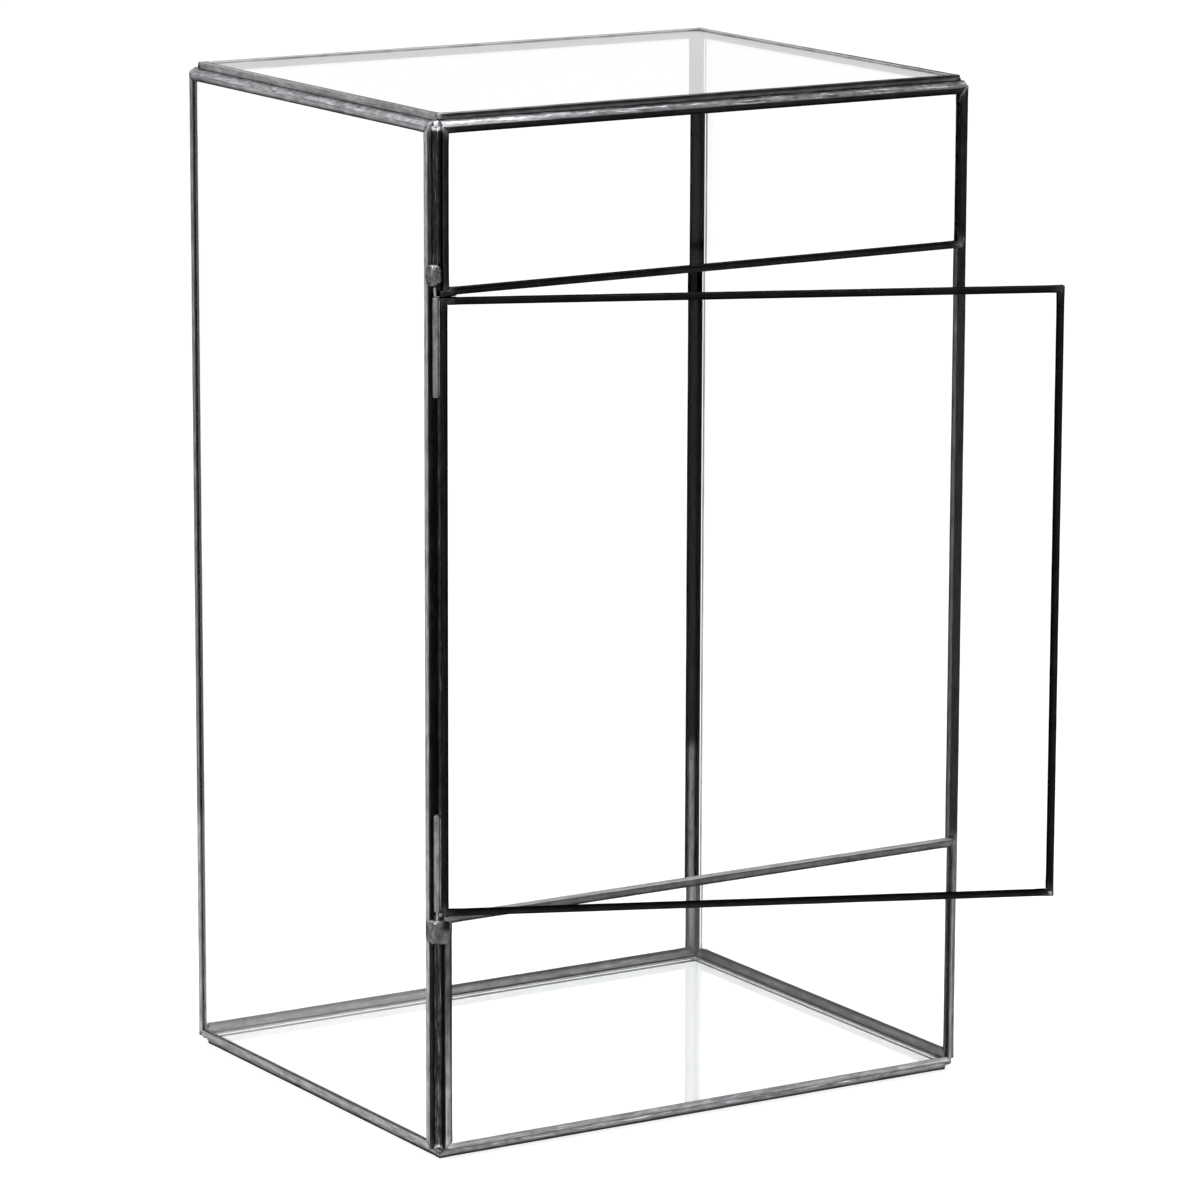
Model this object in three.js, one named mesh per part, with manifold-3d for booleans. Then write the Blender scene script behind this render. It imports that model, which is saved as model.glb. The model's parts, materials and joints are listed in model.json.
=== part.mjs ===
// A glass terrarium: a tall case of edged panes, with a hinged door in its front.
//
// Every pane is edged with folded metal channel, mitred at the corners. The edged panes meet only
// along their inner edges, so each outside corner of the case is an open square groove, and a run
// of solder in the groove holds the two panes together. The door hangs on two tubes soldered to
// its edge. A bent wire pin runs from each tube into a lump of solder in the front left groove.
//
// Millimetres, X to the right along the front, Y to the back, Z up. The case is drawn round the
// middle of its own plan. The finished group is shifted to stand on the middle of its whole box.

import * as THREE from "three";
import { mergeVertices } from "three/addons/utils/BufferGeometryUtils.js";
import Module from "manifold-3d";

const wasm = await Module();
wasm.setup();

// Panes, each measured over its metal edging
const frontPaneWidth = 239.6;
const sidePaneDepth = 190;
const casePaneHeight = 400;
const upperFrontHeight = 64.3;
const lowerFrontHeight = 94.1;

// Glass and the folded channel round it
const glassThickness = 3;
const glassArris = 0.4;
const slotSideClearance = 0.05;
const slotEndClearance = 0.3;
const channelWall = 0.65;
const channelFoldRadius = 0.45;
const channelCover = 2.75;
const mitreGap = 0.1;

// Solder runs in the grooves
const solderGap = 0.05;
const solderLeg = 2.4;
const solderToe = 0.3;
const solderFlare = 5;
const solderEndLeg = 3.6;
const solderStep = 24;
const swellShare = 0.1;
const swellWave = 61;
const rippleWave = 23;

// Door and its swing
const doorBottomGap = 0.4;
const doorTopGap = 1.2;
const doorSeatGap = 0.3;
const doorLap = 0.3;
const doorOpenAngle = THREE.MathUtils.degToRad(23.5);

// Hinges
const hingeAxisInset = 2.2;
const tubeRadius = 1.4;
const tubeBoreRadius = 0.85;
const tubeLength = 38.5;
const tubeFilletRadius = 0.5;
const tubeFilletToe = THREE.MathUtils.degToRad(40);
const pinRadius = 0.65;
const pinReach = 30;
const pinKink = 0.6;

// Lumps of solder that hold the hinge pins. Each centre, and the place where the pin goes in, is
// measured from the outer corner of the groove. The offset runs along the groove from the edge of
// the door's opening.
const upperLump = {
  halfWidth: 2.9,
  halfDepth: 3.6,
  halfHeight: 4.4,
  centreX: 1.9,
  centreY: 2.9,
  offset: 7.6,
  pinX: 3.4,
  pinY: 1.5,
};
const lowerLump = {
  halfWidth: 4.6,
  halfDepth: 3.7,
  halfHeight: 4.9,
  centreX: 3.7,
  centreY: 2.8,
  offset: 6.4,
  pinX: 3.4,
  pinY: 1.5,
};
const lumpPower = 0.75;
const cutOverrun = 20;

// Facets
const foldSegments = 4;
const filletSegments = 4;
const tubeSegments = 16;
const pinSides = 12;
const pinSteps = 30;
const lumpSides = 28;
const lumpRings = 18;

// Sizes that follow from the ones above
const edgeThickness = glassThickness + 2 * (slotSideClearance + channelWall);
const caseWidth = frontPaneWidth + 2 * edgeThickness;
const caseDepth = sidePaneDepth + 2 * edgeThickness;
const wallBottom = edgeThickness;
const wallTop = wallBottom + casePaneHeight;
const caseMiddle = (wallBottom + wallTop) / 2;
const rightInside = caseWidth / 2 - edgeThickness;
const backInside = caseDepth / 2 - edgeThickness;
const openingBottom = wallBottom + lowerFrontHeight;
const openingTop = wallTop - upperFrontHeight;
const doorBottom = openingBottom + doorBottomGap;
const doorTop = openingTop - doorTopGap;
const doorHeight = doorTop - doorBottom;
const hingeX = -caseWidth / 2 + hingeAxisInset;
const hingeY = -backInside - doorSeatGap - edgeThickness / 2;
const doorStart = tubeRadius + solderGap;
const doorWidth = rightInside + doorLap - hingeX - doorStart;

// Finishes
const finishes = {
  glass: new THREE.MeshStandardMaterial({
    color: 0xf2f8f6,
    roughness: 0.03,
    metalness: 0,
    transparent: true,
    opacity: 0.25,
  }),
  patina: new THREE.MeshStandardMaterial({ color: 0x2c2c2e, roughness: 0.42, metalness: 0.85 }),
  solder: new THREE.MeshStandardMaterial({ color: 0x5c5c5f, roughness: 0.38, metalness: 0.9 }),
  hinge: new THREE.MeshStandardMaterial({ color: 0x808083, roughness: 0.4, metalness: 0.9 }),
};

function namedMesh(name, geometry, finish) {
  const mesh = new THREE.Mesh(geometry, finishes[finish].clone());
  mesh.name = name;
  return mesh;
}

// Points of an arc from one angle to another. Outlines are lists of such points and of corners.
function arc(centreX, centreY, radius, from, to, steps) {
  const points = [];
  for (let i = 0; i <= steps; i += 1) {
    const angle = from + ((to - from) * i) / steps;
    points.push(new THREE.Vector2(centreX + radius * Math.cos(angle), centreY + radius * Math.sin(angle)));
  }
  return points;
}

// The section of the folded channel: x runs inward from the pane's outer edge, y across its
// thickness. The folds are rounded outside, and the free edges of the two flanges are round.
function channelSection() {
  const half = edgeThickness / 2;
  const tip = channelWall / 2;
  const quarter = Math.PI / 2;
  const fold = half - channelFoldRadius;
  return new THREE.Shape([
    ...arc(channelCover - tip, -half + tip, tip, -quarter, quarter, foldSegments),
    new THREE.Vector2(channelWall, -half + channelWall),
    new THREE.Vector2(channelWall, half - channelWall),
    ...arc(channelCover - tip, half - tip, tip, -quarter, quarter, foldSegments),
    ...arc(channelFoldRadius, fold, channelFoldRadius, quarter, 2 * quarter, foldSegments),
    ...arc(channelFoldRadius, -fold, channelFoldRadius, 2 * quarter, 3 * quarter, foldSegments),
  ]);
}

// One length of channel along the lower edge of a pane. The section is extruded, and then each end
// slides in by the depth of its points, which is what a mitre of 45 degrees does.
function mitredChannel(run) {
  const geometry = new THREE.ExtrudeGeometry(channelSection(), {
    depth: run - mitreGap,
    bevelEnabled: false,
  });
  const position = geometry.getAttribute("position");
  for (let i = 0; i < position.count; i += 1) {
    const depth = position.getX(i);
    const along = position.getZ(i);
    position.setZ(i, along > 0 ? along - depth : depth);
  }
  const inwardAcrossAlong = new THREE.Matrix4().makeBasis(
    new THREE.Vector3(0, 1, 0),
    new THREE.Vector3(0, 0, 1),
    new THREE.Vector3(1, 0, 0),
  );
  geometry.applyMatrix4(inwardAcrossAlong);
  geometry.translate((mitreGap - run) / 2, 0, 0);
  return geometry;
}

// A sheet of glass with its sharp edges taken off, centred on its own middle.
function glassSheet(width, height) {
  const halfWidth = width / 2 - glassArris;
  const halfHeight = height / 2 - glassArris;
  const outline = new THREE.Shape([
    new THREE.Vector2(-halfWidth, -halfHeight),
    new THREE.Vector2(halfWidth, -halfHeight),
    new THREE.Vector2(halfWidth, halfHeight),
    new THREE.Vector2(-halfWidth, halfHeight),
  ]);
  const geometry = new THREE.ExtrudeGeometry(outline, {
    depth: glassThickness - 2 * glassArris,
    bevelSize: glassArris,
    bevelThickness: glassArris,
    bevelSegments: 1,
  });
  geometry.translate(0, 0, glassArris - glassThickness / 2);
  return geometry;
}

// A pane lies flat in its own group, width along x and height along y, with the glass in the
// middle of its thickness. Its four channels are named in turn: lower, right, upper and left.
function edgedPane(name, width, height, channelNames) {
  const pane = new THREE.Group();
  const margin = channelWall + slotEndClearance;
  pane.add(namedMesh(`${name}_glass`, glassSheet(width - 2 * margin, height - 2 * margin), "glass"));
  channelNames.forEach((channelName, side) => {
    const upright = side % 2 === 1;
    const run = upright ? height : width;
    const reach = upright ? width / 2 : height / 2;
    const geometry = mitredChannel(run);
    geometry.translate(0, -reach, 0);
    const channel = namedMesh(`${name}_channel_${channelName}`, geometry, "patina");
    channel.rotation.z = (side * Math.PI) / 2;
    pane.add(channel);
  });
  return pane;
}

// Panes that stand across the case face the front, and panes that run along it face the side.
function standAcross(pane, y, z) {
  pane.rotation.x = Math.PI / 2;
  pane.position.set(0, y, z);
  return pane;
}

function standAlong(pane, x, z) {
  pane.rotation.order = "ZYX";
  pane.rotation.set(Math.PI / 2, 0, Math.PI / 2);
  pane.position.set(x, 0, z);
  return pane;
}

function casePanes() {
  const panes = new THREE.Group();
  const acrossNames = ["bottom", "right", "top", "left"];
  const alongNames = ["bottom", "back", "top", "front"];
  const flatNames = ["front", "right", "back", "left"];
  const frontY = -(caseDepth - edgeThickness) / 2;
  const sideX = (caseWidth - edgeThickness) / 2;

  for (const [name, x] of [
    ["left", -sideX],
    ["right", sideX],
  ]) {
    const pane = edgedPane(name, sidePaneDepth, casePaneHeight, alongNames);
    panes.add(standAlong(pane, x, caseMiddle));
  }
  for (const [name, y, height, z] of [
    ["back", -frontY, casePaneHeight, caseMiddle],
    ["upper_front", frontY, upperFrontHeight, wallTop - upperFrontHeight / 2],
    ["lower_front", frontY, lowerFrontHeight, wallBottom + lowerFrontHeight / 2],
  ]) {
    const pane = edgedPane(name, frontPaneWidth, height, acrossNames);
    panes.add(standAcross(pane, y, z));
  }
  for (const [name, z] of [
    ["top", wallTop + edgeThickness / 2],
    ["base", wallBottom - edgeThickness / 2],
  ]) {
    const pane = edgedPane(name, frontPaneWidth, sidePaneDepth, flatNames);
    pane.position.z = z;
    panes.add(pane);
  }
  return panes;
}

// A closed solid through a list of outlines, each at its own height and all with as many points.
function loft(sections) {
  const count = sections[0].outline.length;
  const last = (sections.length - 1) * count;
  const points = sections.flatMap(({ height, outline }) => outline.flatMap(({ x, y }) => [x, y, height]));
  const faces = [];
  for (let start = 0; start < last; start += count) {
    for (let i = 0; i < count; i += 1) {
      const here = start + i;
      const next = start + ((i + 1) % count);
      faces.push(here, next, next + count, here, next + count, here + count);
    }
  }
  for (const [a, b, c] of THREE.ShapeUtils.triangulateShape(sections[0].outline, [])) {
    faces.push(c, b, a);
  }
  for (const [a, b, c] of THREE.ShapeUtils.triangulateShape(sections.at(-1).outline, [])) {
    faces.push(a + last, b + last, c + last);
  }
  const geometry = new THREE.BufferGeometry();
  geometry.setAttribute("position", new THREE.Float32BufferAttribute(points, 3));
  geometry.setIndex(faces);
  return geometry;
}

// The section of a solder run: a leg on each wall of the groove, and a hollow face between them.
function solderOutline(leg) {
  const hollow = leg - solderGap - solderToe;
  return [
    new THREE.Vector2(solderGap, solderGap),
    new THREE.Vector2(leg, solderGap),
    ...arc(leg, leg, hollow, (3 * Math.PI) / 2, Math.PI, filletSegments),
    new THREE.Vector2(solderGap, leg),
  ];
}

// A run of solder swells and shrinks a little along its way, and flares at both ends, where it
// meets the runs round the corner.
function solderRun(length) {
  const steps = Math.max(2, Math.round((length - 2 * solderFlare) / solderStep));
  const heights = [0, solderFlare / 2];
  for (let i = 0; i <= steps; i += 1) {
    heights.push(solderFlare + ((length - 2 * solderFlare) * i) / steps);
  }
  heights.push(length - solderFlare / 2, length);
  const sections = heights.map((height) => {
    const fromEnd = Math.min(height, length - height);
    const flareShare = Math.max(0, 1 - fromEnd / solderFlare) ** 2;
    const swell = Math.sin((2 * Math.PI * height) / swellWave) + Math.sin((2 * Math.PI * height) / rippleWave);
    const leg = solderLeg * (1 + swellShare * swell * (1 - flareShare));
    return { height, outline: solderOutline(THREE.MathUtils.lerp(leg, solderEndLeg, flareShare)) };
  });
  return loft(sections);
}

// A solder run lies in a groove: firstWall and secondWall point away from the groove's root along
// its two walls, and the run follows their cross product.
function solderInGroove(name, root, firstWall, secondWall, length) {
  const along = new THREE.Vector3().crossVectors(firstWall, secondWall);
  const solder = namedMesh(name, solderRun(length), "solder");
  solder.quaternion.setFromRotationMatrix(new THREE.Matrix4().makeBasis(firstWall, secondWall, along));
  solder.position.copy(root).addScaledVector(along, -length / 2);
  return solder;
}

function uprightSolder() {
  const runs = new THREE.Group();
  const upperSpan = [openingTop, wallTop];
  const lowerSpan = [wallBottom, openingBottom];
  const upperLumpTop = openingTop + upperLump.offset + upperLump.halfHeight;
  const lowerLumpBottom = openingBottom - lowerLump.offset - lowerLump.halfHeight;
  for (const [name, sideX, sideY, [bottom, top]] of [
    ["back_left", -1, 1, [wallBottom, wallTop]],
    ["back_right", 1, 1, [wallBottom, wallTop]],
    ["front_left_upper", -1, -1, [upperLumpTop, wallTop]],
    ["front_left_lower", -1, -1, [wallBottom, lowerLumpBottom]],
    ["front_right_upper", 1, -1, upperSpan],
    ["front_right_lower", 1, -1, lowerSpan],
  ]) {
    const root = new THREE.Vector3(sideX * rightInside, sideY * backInside, (bottom + top) / 2);
    const firstWall = new THREE.Vector3(sideX, 0, 0);
    const secondWall = new THREE.Vector3(0, sideY, 0);
    runs.add(solderInGroove(`solder_${name}`, root, firstWall, secondWall, top - bottom));
  }
  return runs;
}

function levelSolder() {
  const runs = new THREE.Group();
  for (const [level, z, upward] of [
    ["top", wallTop, 1],
    ["base", wallBottom, -1],
  ]) {
    for (const [name, sideX, sideY] of [
      ["left", -1, 0],
      ["right", 1, 0],
      ["front", 0, -1],
      ["back", 0, 1],
    ]) {
      const root = new THREE.Vector3(sideX * rightInside, sideY * backInside, z);
      const outward = new THREE.Vector3(sideX, sideY, 0);
      const upright = new THREE.Vector3(0, 0, upward);
      const length = sideX === 0 ? frontPaneWidth : sidePaneDepth;
      runs.add(solderInGroove(`solder_${level}_${name}`, root, outward, upright, length));
    }
  }
  return runs;
}

// A hinge tube with the solder that runs down both sides of it, where it lies on the door's edge.
// The door's edge is a flat at x = tubeRadius. A fillet that touches both the tube and that flat
// has its centre at a place that the two radii fix, and it stops short of its own thin edge.
function hingeTube() {
  const filletX = tubeRadius - tubeFilletRadius;
  const filletY = 2 * Math.sqrt(tubeRadius * tubeFilletRadius);
  const touch = Math.atan2(filletY, filletX);
  const toeY = filletY - tubeFilletRadius * Math.sin(tubeFilletToe);
  const section = new THREE.Shape([
    ...arc(0, 0, tubeRadius, touch, 2 * Math.PI - touch, tubeSegments),
    ...arc(filletX, -filletY, tubeFilletRadius, Math.PI - touch, tubeFilletToe, filletSegments).slice(1),
    new THREE.Vector2(tubeRadius, -toeY),
    new THREE.Vector2(tubeRadius, toeY),
    ...arc(filletX, filletY, tubeFilletRadius, -tubeFilletToe, touch - Math.PI, filletSegments).slice(0, -1),
  ]);
  section.holes.push(new THREE.Path(arc(0, 0, tubeBoreRadius, 2 * Math.PI, 0, tubeSegments).slice(1)));
  const geometry = new THREE.ExtrudeGeometry(section, {
    depth: tubeLength,
    bevelEnabled: false,
  });
  geometry.translate(0, 0, -tubeLength / 2);
  return geometry;
}

// The door turns round the hinge axis, which is the middle of its tubes. Its pane lies beside the
// tubes. The seat gap is what the closed door keeps to the front edges of the side walls, and its
// free edge laps over the right wall by the door's lap.
function door() {
  const swing = new THREE.Group();
  const middle = (doorBottom + doorTop) / 2;
  swing.position.set(hingeX, hingeY, 0);
  swing.rotation.z = -doorOpenAngle;
  const pane = edgedPane("door", doorWidth, doorHeight, ["bottom", "free_side", "top", "hinge_side"]);
  standAcross(pane, 0, middle);
  pane.position.x = doorStart + doorWidth / 2;
  swing.add(pane);
  for (const [name, z] of [
    ["hinge_tube_upper", doorTop - tubeLength / 2],
    ["hinge_tube_lower", doorBottom + tubeLength / 2],
  ]) {
    const tube = namedMesh(name, hingeTube(), "hinge");
    tube.position.z = z;
    swing.add(tube);
  }
  return swing;
}

// The wire pin of one hinge stands in its tube, leaves the tube's end, kinks and runs up or down
// the groove into its lump of solder. The side is 1 for the upper hinge and -1 for the lower one.
function pinPath(side, lump, tipLength) {
  const tubeEnd = side > 0 ? doorTop : doorBottom;
  const edge = side > 0 ? openingTop : openingBottom;
  const lumpMiddle = edge + side * lump.offset;
  const lumpNear = lumpMiddle - side * lump.halfHeight;
  const endX = -caseWidth / 2 + lump.pinX;
  const endY = -caseDepth / 2 + lump.pinY;
  const start = new THREE.Vector3(hingeX, hingeY, tubeEnd - side * pinReach);
  const leave = new THREE.Vector3(hingeX, hingeY, tubeEnd + side * pinRadius);
  const kink = new THREE.Vector3(hingeX - pinKink, hingeY, tubeEnd + side * (pinRadius + 2 * pinKink));
  const enter = new THREE.Vector3(endX, endY, lumpNear);
  const tip = new THREE.Vector3(endX, endY, lumpMiddle + side * tipLength);
  const path = new THREE.CurvePath();
  path.add(new THREE.LineCurve3(start, leave));
  path.add(new THREE.CubicBezierCurve3(leave, kink, enter, tip));
  return path;
}

function pinSolid(side, lump, radius, tipLength) {
  const section = new THREE.Shape(arc(0, 0, radius, 0, 2 * Math.PI, pinSides).slice(1));
  return new THREE.ExtrudeGeometry(section, {
    extrudePath: pinPath(side, lump, tipLength),
    steps: pinSteps,
  });
}

function toSolid(geometry) {
  const bare = geometry.clone();
  bare.deleteAttribute("normal");
  bare.deleteAttribute("uv");
  const merged = mergeVertices(bare);
  const vertProperties = new Float32Array(merged.getAttribute("position").array);
  const triVerts = new Uint32Array(merged.index.array);
  return new wasm.Manifold(new wasm.Mesh({ numProp: 3, vertProperties, triVerts }));
}

function fromSolid(solid) {
  const { vertProperties, triVerts } = solid.getMesh();
  const geometry = new THREE.BufferGeometry();
  geometry.setAttribute("position", new THREE.BufferAttribute(vertProperties, 3));
  geometry.setIndex(new THREE.BufferAttribute(triVerts, 1));
  return geometry;
}

// A lump between a ball and a block. A power below one pushes each point of a ball outward.
function squareLump(lump) {
  const geometry = new THREE.SphereGeometry(1, lumpSides, lumpRings);
  geometry.rotateX(Math.PI / 2);
  const position = geometry.getAttribute("position");
  const square = (share) => Math.sign(share) * Math.abs(share) ** lumpPower;
  for (let i = 0; i < position.count; i += 1) {
    position.setXYZ(i, square(position.getX(i)), square(position.getY(i)), square(position.getZ(i)));
  }
  geometry.scale(lump.halfWidth, lump.halfDepth, lump.halfHeight);
  return geometry;
}

// The space right of and behind a corner in plan, for as far as the overrun goes.
function cutBlock(lowX, lowY, middle) {
  const block = new THREE.BoxGeometry(cutOverrun, cutOverrun, cutOverrun);
  block.translate(lowX + cutOverrun / 2, lowY + cutOverrun / 2, middle);
  return block;
}

// A lump of solder fills the front left groove and laps over the panes beside it. The two panes
// and the hinge pin are taken out of it, each with the solder's gap.
function hingeLump(side, lump) {
  const edge = side > 0 ? openingTop : openingBottom;
  const middle = edge + side * lump.offset;
  const centreX = -caseWidth / 2 + lump.centreX;
  const centreY = -caseDepth / 2 + lump.centreY;
  const whole = squareLump(lump);
  whole.translate(centreX, centreY, middle);
  const cuts = [
    cutBlock(-caseWidth / 2 - solderGap, -backInside - solderGap, middle),
    cutBlock(-rightInside - solderGap, -caseDepth / 2 - solderGap, middle),
    pinSolid(side, lump, pinRadius + solderGap, pinRadius + solderGap),
  ];
  return fromSolid(cuts.reduce((left, cut) => left.subtract(toSolid(cut)), toSolid(whole)));
}

function hingeAnchors() {
  const anchors = new THREE.Group();
  for (const [name, side, lump] of [
    ["upper", 1, upperLump],
    ["lower", -1, lowerLump],
  ]) {
    anchors.add(namedMesh(`hinge_pin_${name}`, pinSolid(side, lump, pinRadius, pinRadius), "hinge"));
    anchors.add(namedMesh(`hinge_solder_${name}`, hingeLump(side, lump), "solder"));
  }
  return anchors;
}

const assembly = new THREE.Group();
assembly.add(casePanes(), uprightSolder(), levelSolder(), door(), hingeAnchors());

const terrarium = new THREE.Group();
terrarium.add(assembly);
terrarium.updateMatrixWorld(true);
const box = new THREE.Box3().setFromObject(terrarium, true);
const middle = box.getCenter(new THREE.Vector3());
assembly.position.set(-middle.x, -middle.y, -box.min.z);

export default terrarium;
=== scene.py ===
"""Dresses the glass terrarium: hand-folded channel, solder, hinge tubes and wire, glass and studio."""

import json
import math
from itertools import product

import bmesh
import bpy
from bpy.props import FloatProperty, FloatVectorProperty, IntProperty, PointerProperty
from mathutils import Matrix, Vector, noise

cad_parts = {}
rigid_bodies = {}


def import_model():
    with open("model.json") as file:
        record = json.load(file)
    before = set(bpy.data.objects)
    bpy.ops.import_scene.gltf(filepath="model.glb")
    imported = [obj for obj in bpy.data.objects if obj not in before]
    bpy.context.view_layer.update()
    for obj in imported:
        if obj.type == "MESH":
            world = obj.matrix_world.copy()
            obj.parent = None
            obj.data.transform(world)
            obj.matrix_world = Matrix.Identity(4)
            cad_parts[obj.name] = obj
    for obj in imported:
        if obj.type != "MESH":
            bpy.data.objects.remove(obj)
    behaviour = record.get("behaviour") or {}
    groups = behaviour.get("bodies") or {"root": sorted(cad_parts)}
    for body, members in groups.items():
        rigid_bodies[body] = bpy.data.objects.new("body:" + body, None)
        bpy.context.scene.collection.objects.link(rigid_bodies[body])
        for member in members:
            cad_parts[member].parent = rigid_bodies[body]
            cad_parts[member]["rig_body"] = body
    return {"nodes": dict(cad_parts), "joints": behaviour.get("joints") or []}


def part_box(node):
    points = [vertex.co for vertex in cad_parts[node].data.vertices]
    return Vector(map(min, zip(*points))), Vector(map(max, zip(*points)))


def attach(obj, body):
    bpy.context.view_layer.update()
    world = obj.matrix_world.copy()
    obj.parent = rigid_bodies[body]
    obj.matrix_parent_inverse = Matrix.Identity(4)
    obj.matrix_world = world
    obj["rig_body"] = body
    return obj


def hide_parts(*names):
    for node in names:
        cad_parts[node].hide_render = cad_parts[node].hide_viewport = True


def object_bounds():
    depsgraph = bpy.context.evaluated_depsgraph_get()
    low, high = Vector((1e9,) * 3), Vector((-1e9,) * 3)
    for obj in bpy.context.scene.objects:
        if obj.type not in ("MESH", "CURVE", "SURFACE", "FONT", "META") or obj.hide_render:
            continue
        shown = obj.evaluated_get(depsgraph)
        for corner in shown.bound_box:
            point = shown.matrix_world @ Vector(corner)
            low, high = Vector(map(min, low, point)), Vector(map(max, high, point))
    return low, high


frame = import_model()
cad_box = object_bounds()

bl_info = {
    "name": "Glass terrarium",
    "version": (1, 0, 0),
    "blender": (4, 5, 0),
    "location": "View3D > Sidebar > Terrarium",
    "description": "Builds the channel, solder, hinges and glass of a soldered terrarium",
    "category": "Object",
}

MM = 0.001

HINGE = frame["joints"][0]
HINGE_PLACE = Vector(HINGE["pos_m"])
OPENING_TURN = Matrix.Rotation(math.radians(HINGE["range_deg"][0]), 3, "Z")
SHUTTING_TURN = OPENING_TURN.transposed()
DOOR_BODY = HINGE["child"]
CASE_BODY = HINGE["parent"]

PANES = {
    "left": ("bottom", "back", "top", "front"),
    "right": ("bottom", "back", "top", "front"),
    "back": ("bottom", "right", "top", "left"),
    "upper_front": ("bottom", "right", "top", "left"),
    "lower_front": ("bottom", "right", "top", "left"),
    "top": ("front", "right", "back", "left"),
    "base": ("front", "right", "back", "left"),
    "door": ("bottom", "free_side", "top", "hinge_side"),
}
UPRIGHT_RUNS = (
    "back_left",
    "back_right",
    "front_left_upper",
    "front_left_lower",
    "front_right_upper",
    "front_right_lower",
)
LEVEL_SIDES = ("left", "right", "front", "back")

# Which way each hinge pin leaves its tube
HINGE_LEVELS = {"upper": 1, "lower": -1}


# Colours and numbers


def linear(hex_colour):
    """The linear RGBA colour of an sRGB hex value."""
    channels = [int(hex_colour[i : i + 2], 16) / 255 for i in (0, 2, 4)]
    return (*[c / 12.92 if c <= 0.04045 else ((c + 0.055) / 1.055) ** 2.4 for c in channels], 1)


def colour(name, description, hex_colour):
    return FloatVectorProperty(
        name=name, description=description, subtype="COLOR", size=4, min=0, max=1, default=linear(hex_colour)
    )


def length(name, description, millimetres):
    return FloatProperty(name=name, description=description, unit="LENGTH", default=millimetres * MM)


def angle(name, description, radians):
    return FloatProperty(name=name, description=description, subtype="ANGLE", default=radians)


def smooth_step(low, high, value):
    """0 below low, 1 above high, and a smooth rise between them."""
    place = min(max((value - low) / (high - low), 0), 1)
    return place * place * (3 - 2 * place)


def mix(first, second, factor):
    return first + (second - first) * factor


# Settings


class ChannelSettings(bpy.types.PropertyGroup):
    wall: length("Wall", "Thickness of the folded strip", 0.65)
    fold_radius: length("Fold radius", "Outside radius of the two folds", 0.45)
    tip_radius: length("Tip radius", "Rounding of the two free edges", 0.2)
    sink: length("Sink", "How far bare metal lies below the solder at the mitres", 0.1)
    wobble: length("Wobble", "Depth of the hand-pressed waves in the strip", 0.07)
    wipe: length("Solder wipe", "Length of the tinned stretch at each mitre", 4.5)
    door_rise: length("Door rise", "How much the door's top strip stands up from its true place", 0.6)
    door_drop: length("Door drop", "How much the door's bottom strip hangs below its true place", 0.3)
    step: length("Step", "Distance between sections", 2.4)


class SolderSettings(bpy.types.PropertyGroup):
    leg: length("Leg", "Reach of a run of solder on each wall of its groove", 2.4)
    toe: length("Toe", "Height of the solder's rounded edge", 0.34)
    flare: length("Flare", "Length over which a run swells at its ends", 4)
    end_leg: length("End leg", "Reach of a run on each wall at its ends", 2.9)
    ripple: length("Ripple", "Height of the ripples that the iron leaves", 0.14)
    wander: length("Wander", "How far the solder's edge wanders from a straight line", 0.34)
    bed: length("Bed", "How deep the solder has wetted into the metal below it", 0.16)
    ledge_leg: length("Ledge leg", "Reach of a filled run over the ledge below the top pane", 4.1)
    fullness: FloatProperty(
        name="Fullness",
        description="How far a filled run bulges, from 0 for hollow and 1 for straight upwards",
        default=1.8,
    )
    step: length("Step", "Distance between sections", 1.1)
    corner_radius: length("Corner radius", "Radius of the solder in a corner of the case", 1.5)
    corner_reach: length("Corner reach", "How far its middle stands out from the corner's root", 0.55)
    front_size: length("Front size", "Radius of the solder between a front pane and the right wall", 2.2)
    droop: length("Droop", "How far solder hangs below the upper front pane at the hinge", 0.33)
    skin: length("Skin", "Thickness of the solder wiped over the corners of the door", 0.12)
    wipe: length("Wipe", "Half the length of that solder along the door's top and bottom", 1.6)
    hinge_wipe: length("Hinge wipe", "The same at the top of the hinge side", 4.5)
    hinge_swell: length("Hinge swell", "How far the solder stands up there", 0.2)


class HingeSettings(bpy.types.PropertyGroup):
    tube_radius: length("Tube radius", "Outside radius of a hinge tube", 1.4)
    bore_radius: length("Bore radius", "Radius of the bore that turns on the wire", 0.85)
    rim: length("Rim", "Rounding of the tube's ends", 0.4)
    wire_radius: length("Wire radius", "Radius of the bent wire pin", 0.65)
    wire_kink: length("Wire kink", "How far the wire bows out where it leaves the tube", 0.6)
    wire_reach: length("Wire reach", "How deep the wire stands in its tube", 30)
    upper_rise: length("Upper rise", "How much higher than true the upper tube is soldered on", 0.8)
    lower_rise: length("Lower rise", "How much higher than true the lower tube is soldered on", 1.2)
    bead: length("Bead", "How far the tinned edge of the door stands up between the tubes", 1.35)


class FinishSettings(bpy.types.PropertyGroup):
    # The light colour of each pair is also that of the painted highlights, and the dark one that of the painted
    # shade
    patina: colour("Patina", "Full black patina", "0a0a0b")
    worn: colour("Worn metal", "Channel where the patina is rubbed away", "c8c9cb")
    solder_dark: colour("Dark solder", "Solder under its patina", "0c0c0e")
    solder_bare: colour("Bare solder", "Solder where it is rubbed bright", "e6e6ea")
    tube: colour("Tube", "Tinned hinge tube", "88888b")
    tube_dark: colour("Tube stain", "Patina that has run down a hinge tube", "5a5a5d")
    wire: colour("Wire", "Steel wire", "8c8c90")
    glass: colour("Glass", "Tint of one face of the float glass", "fdfefe")
    floor: colour("Floor", "Studio floor", "f4f4f4")


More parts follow.
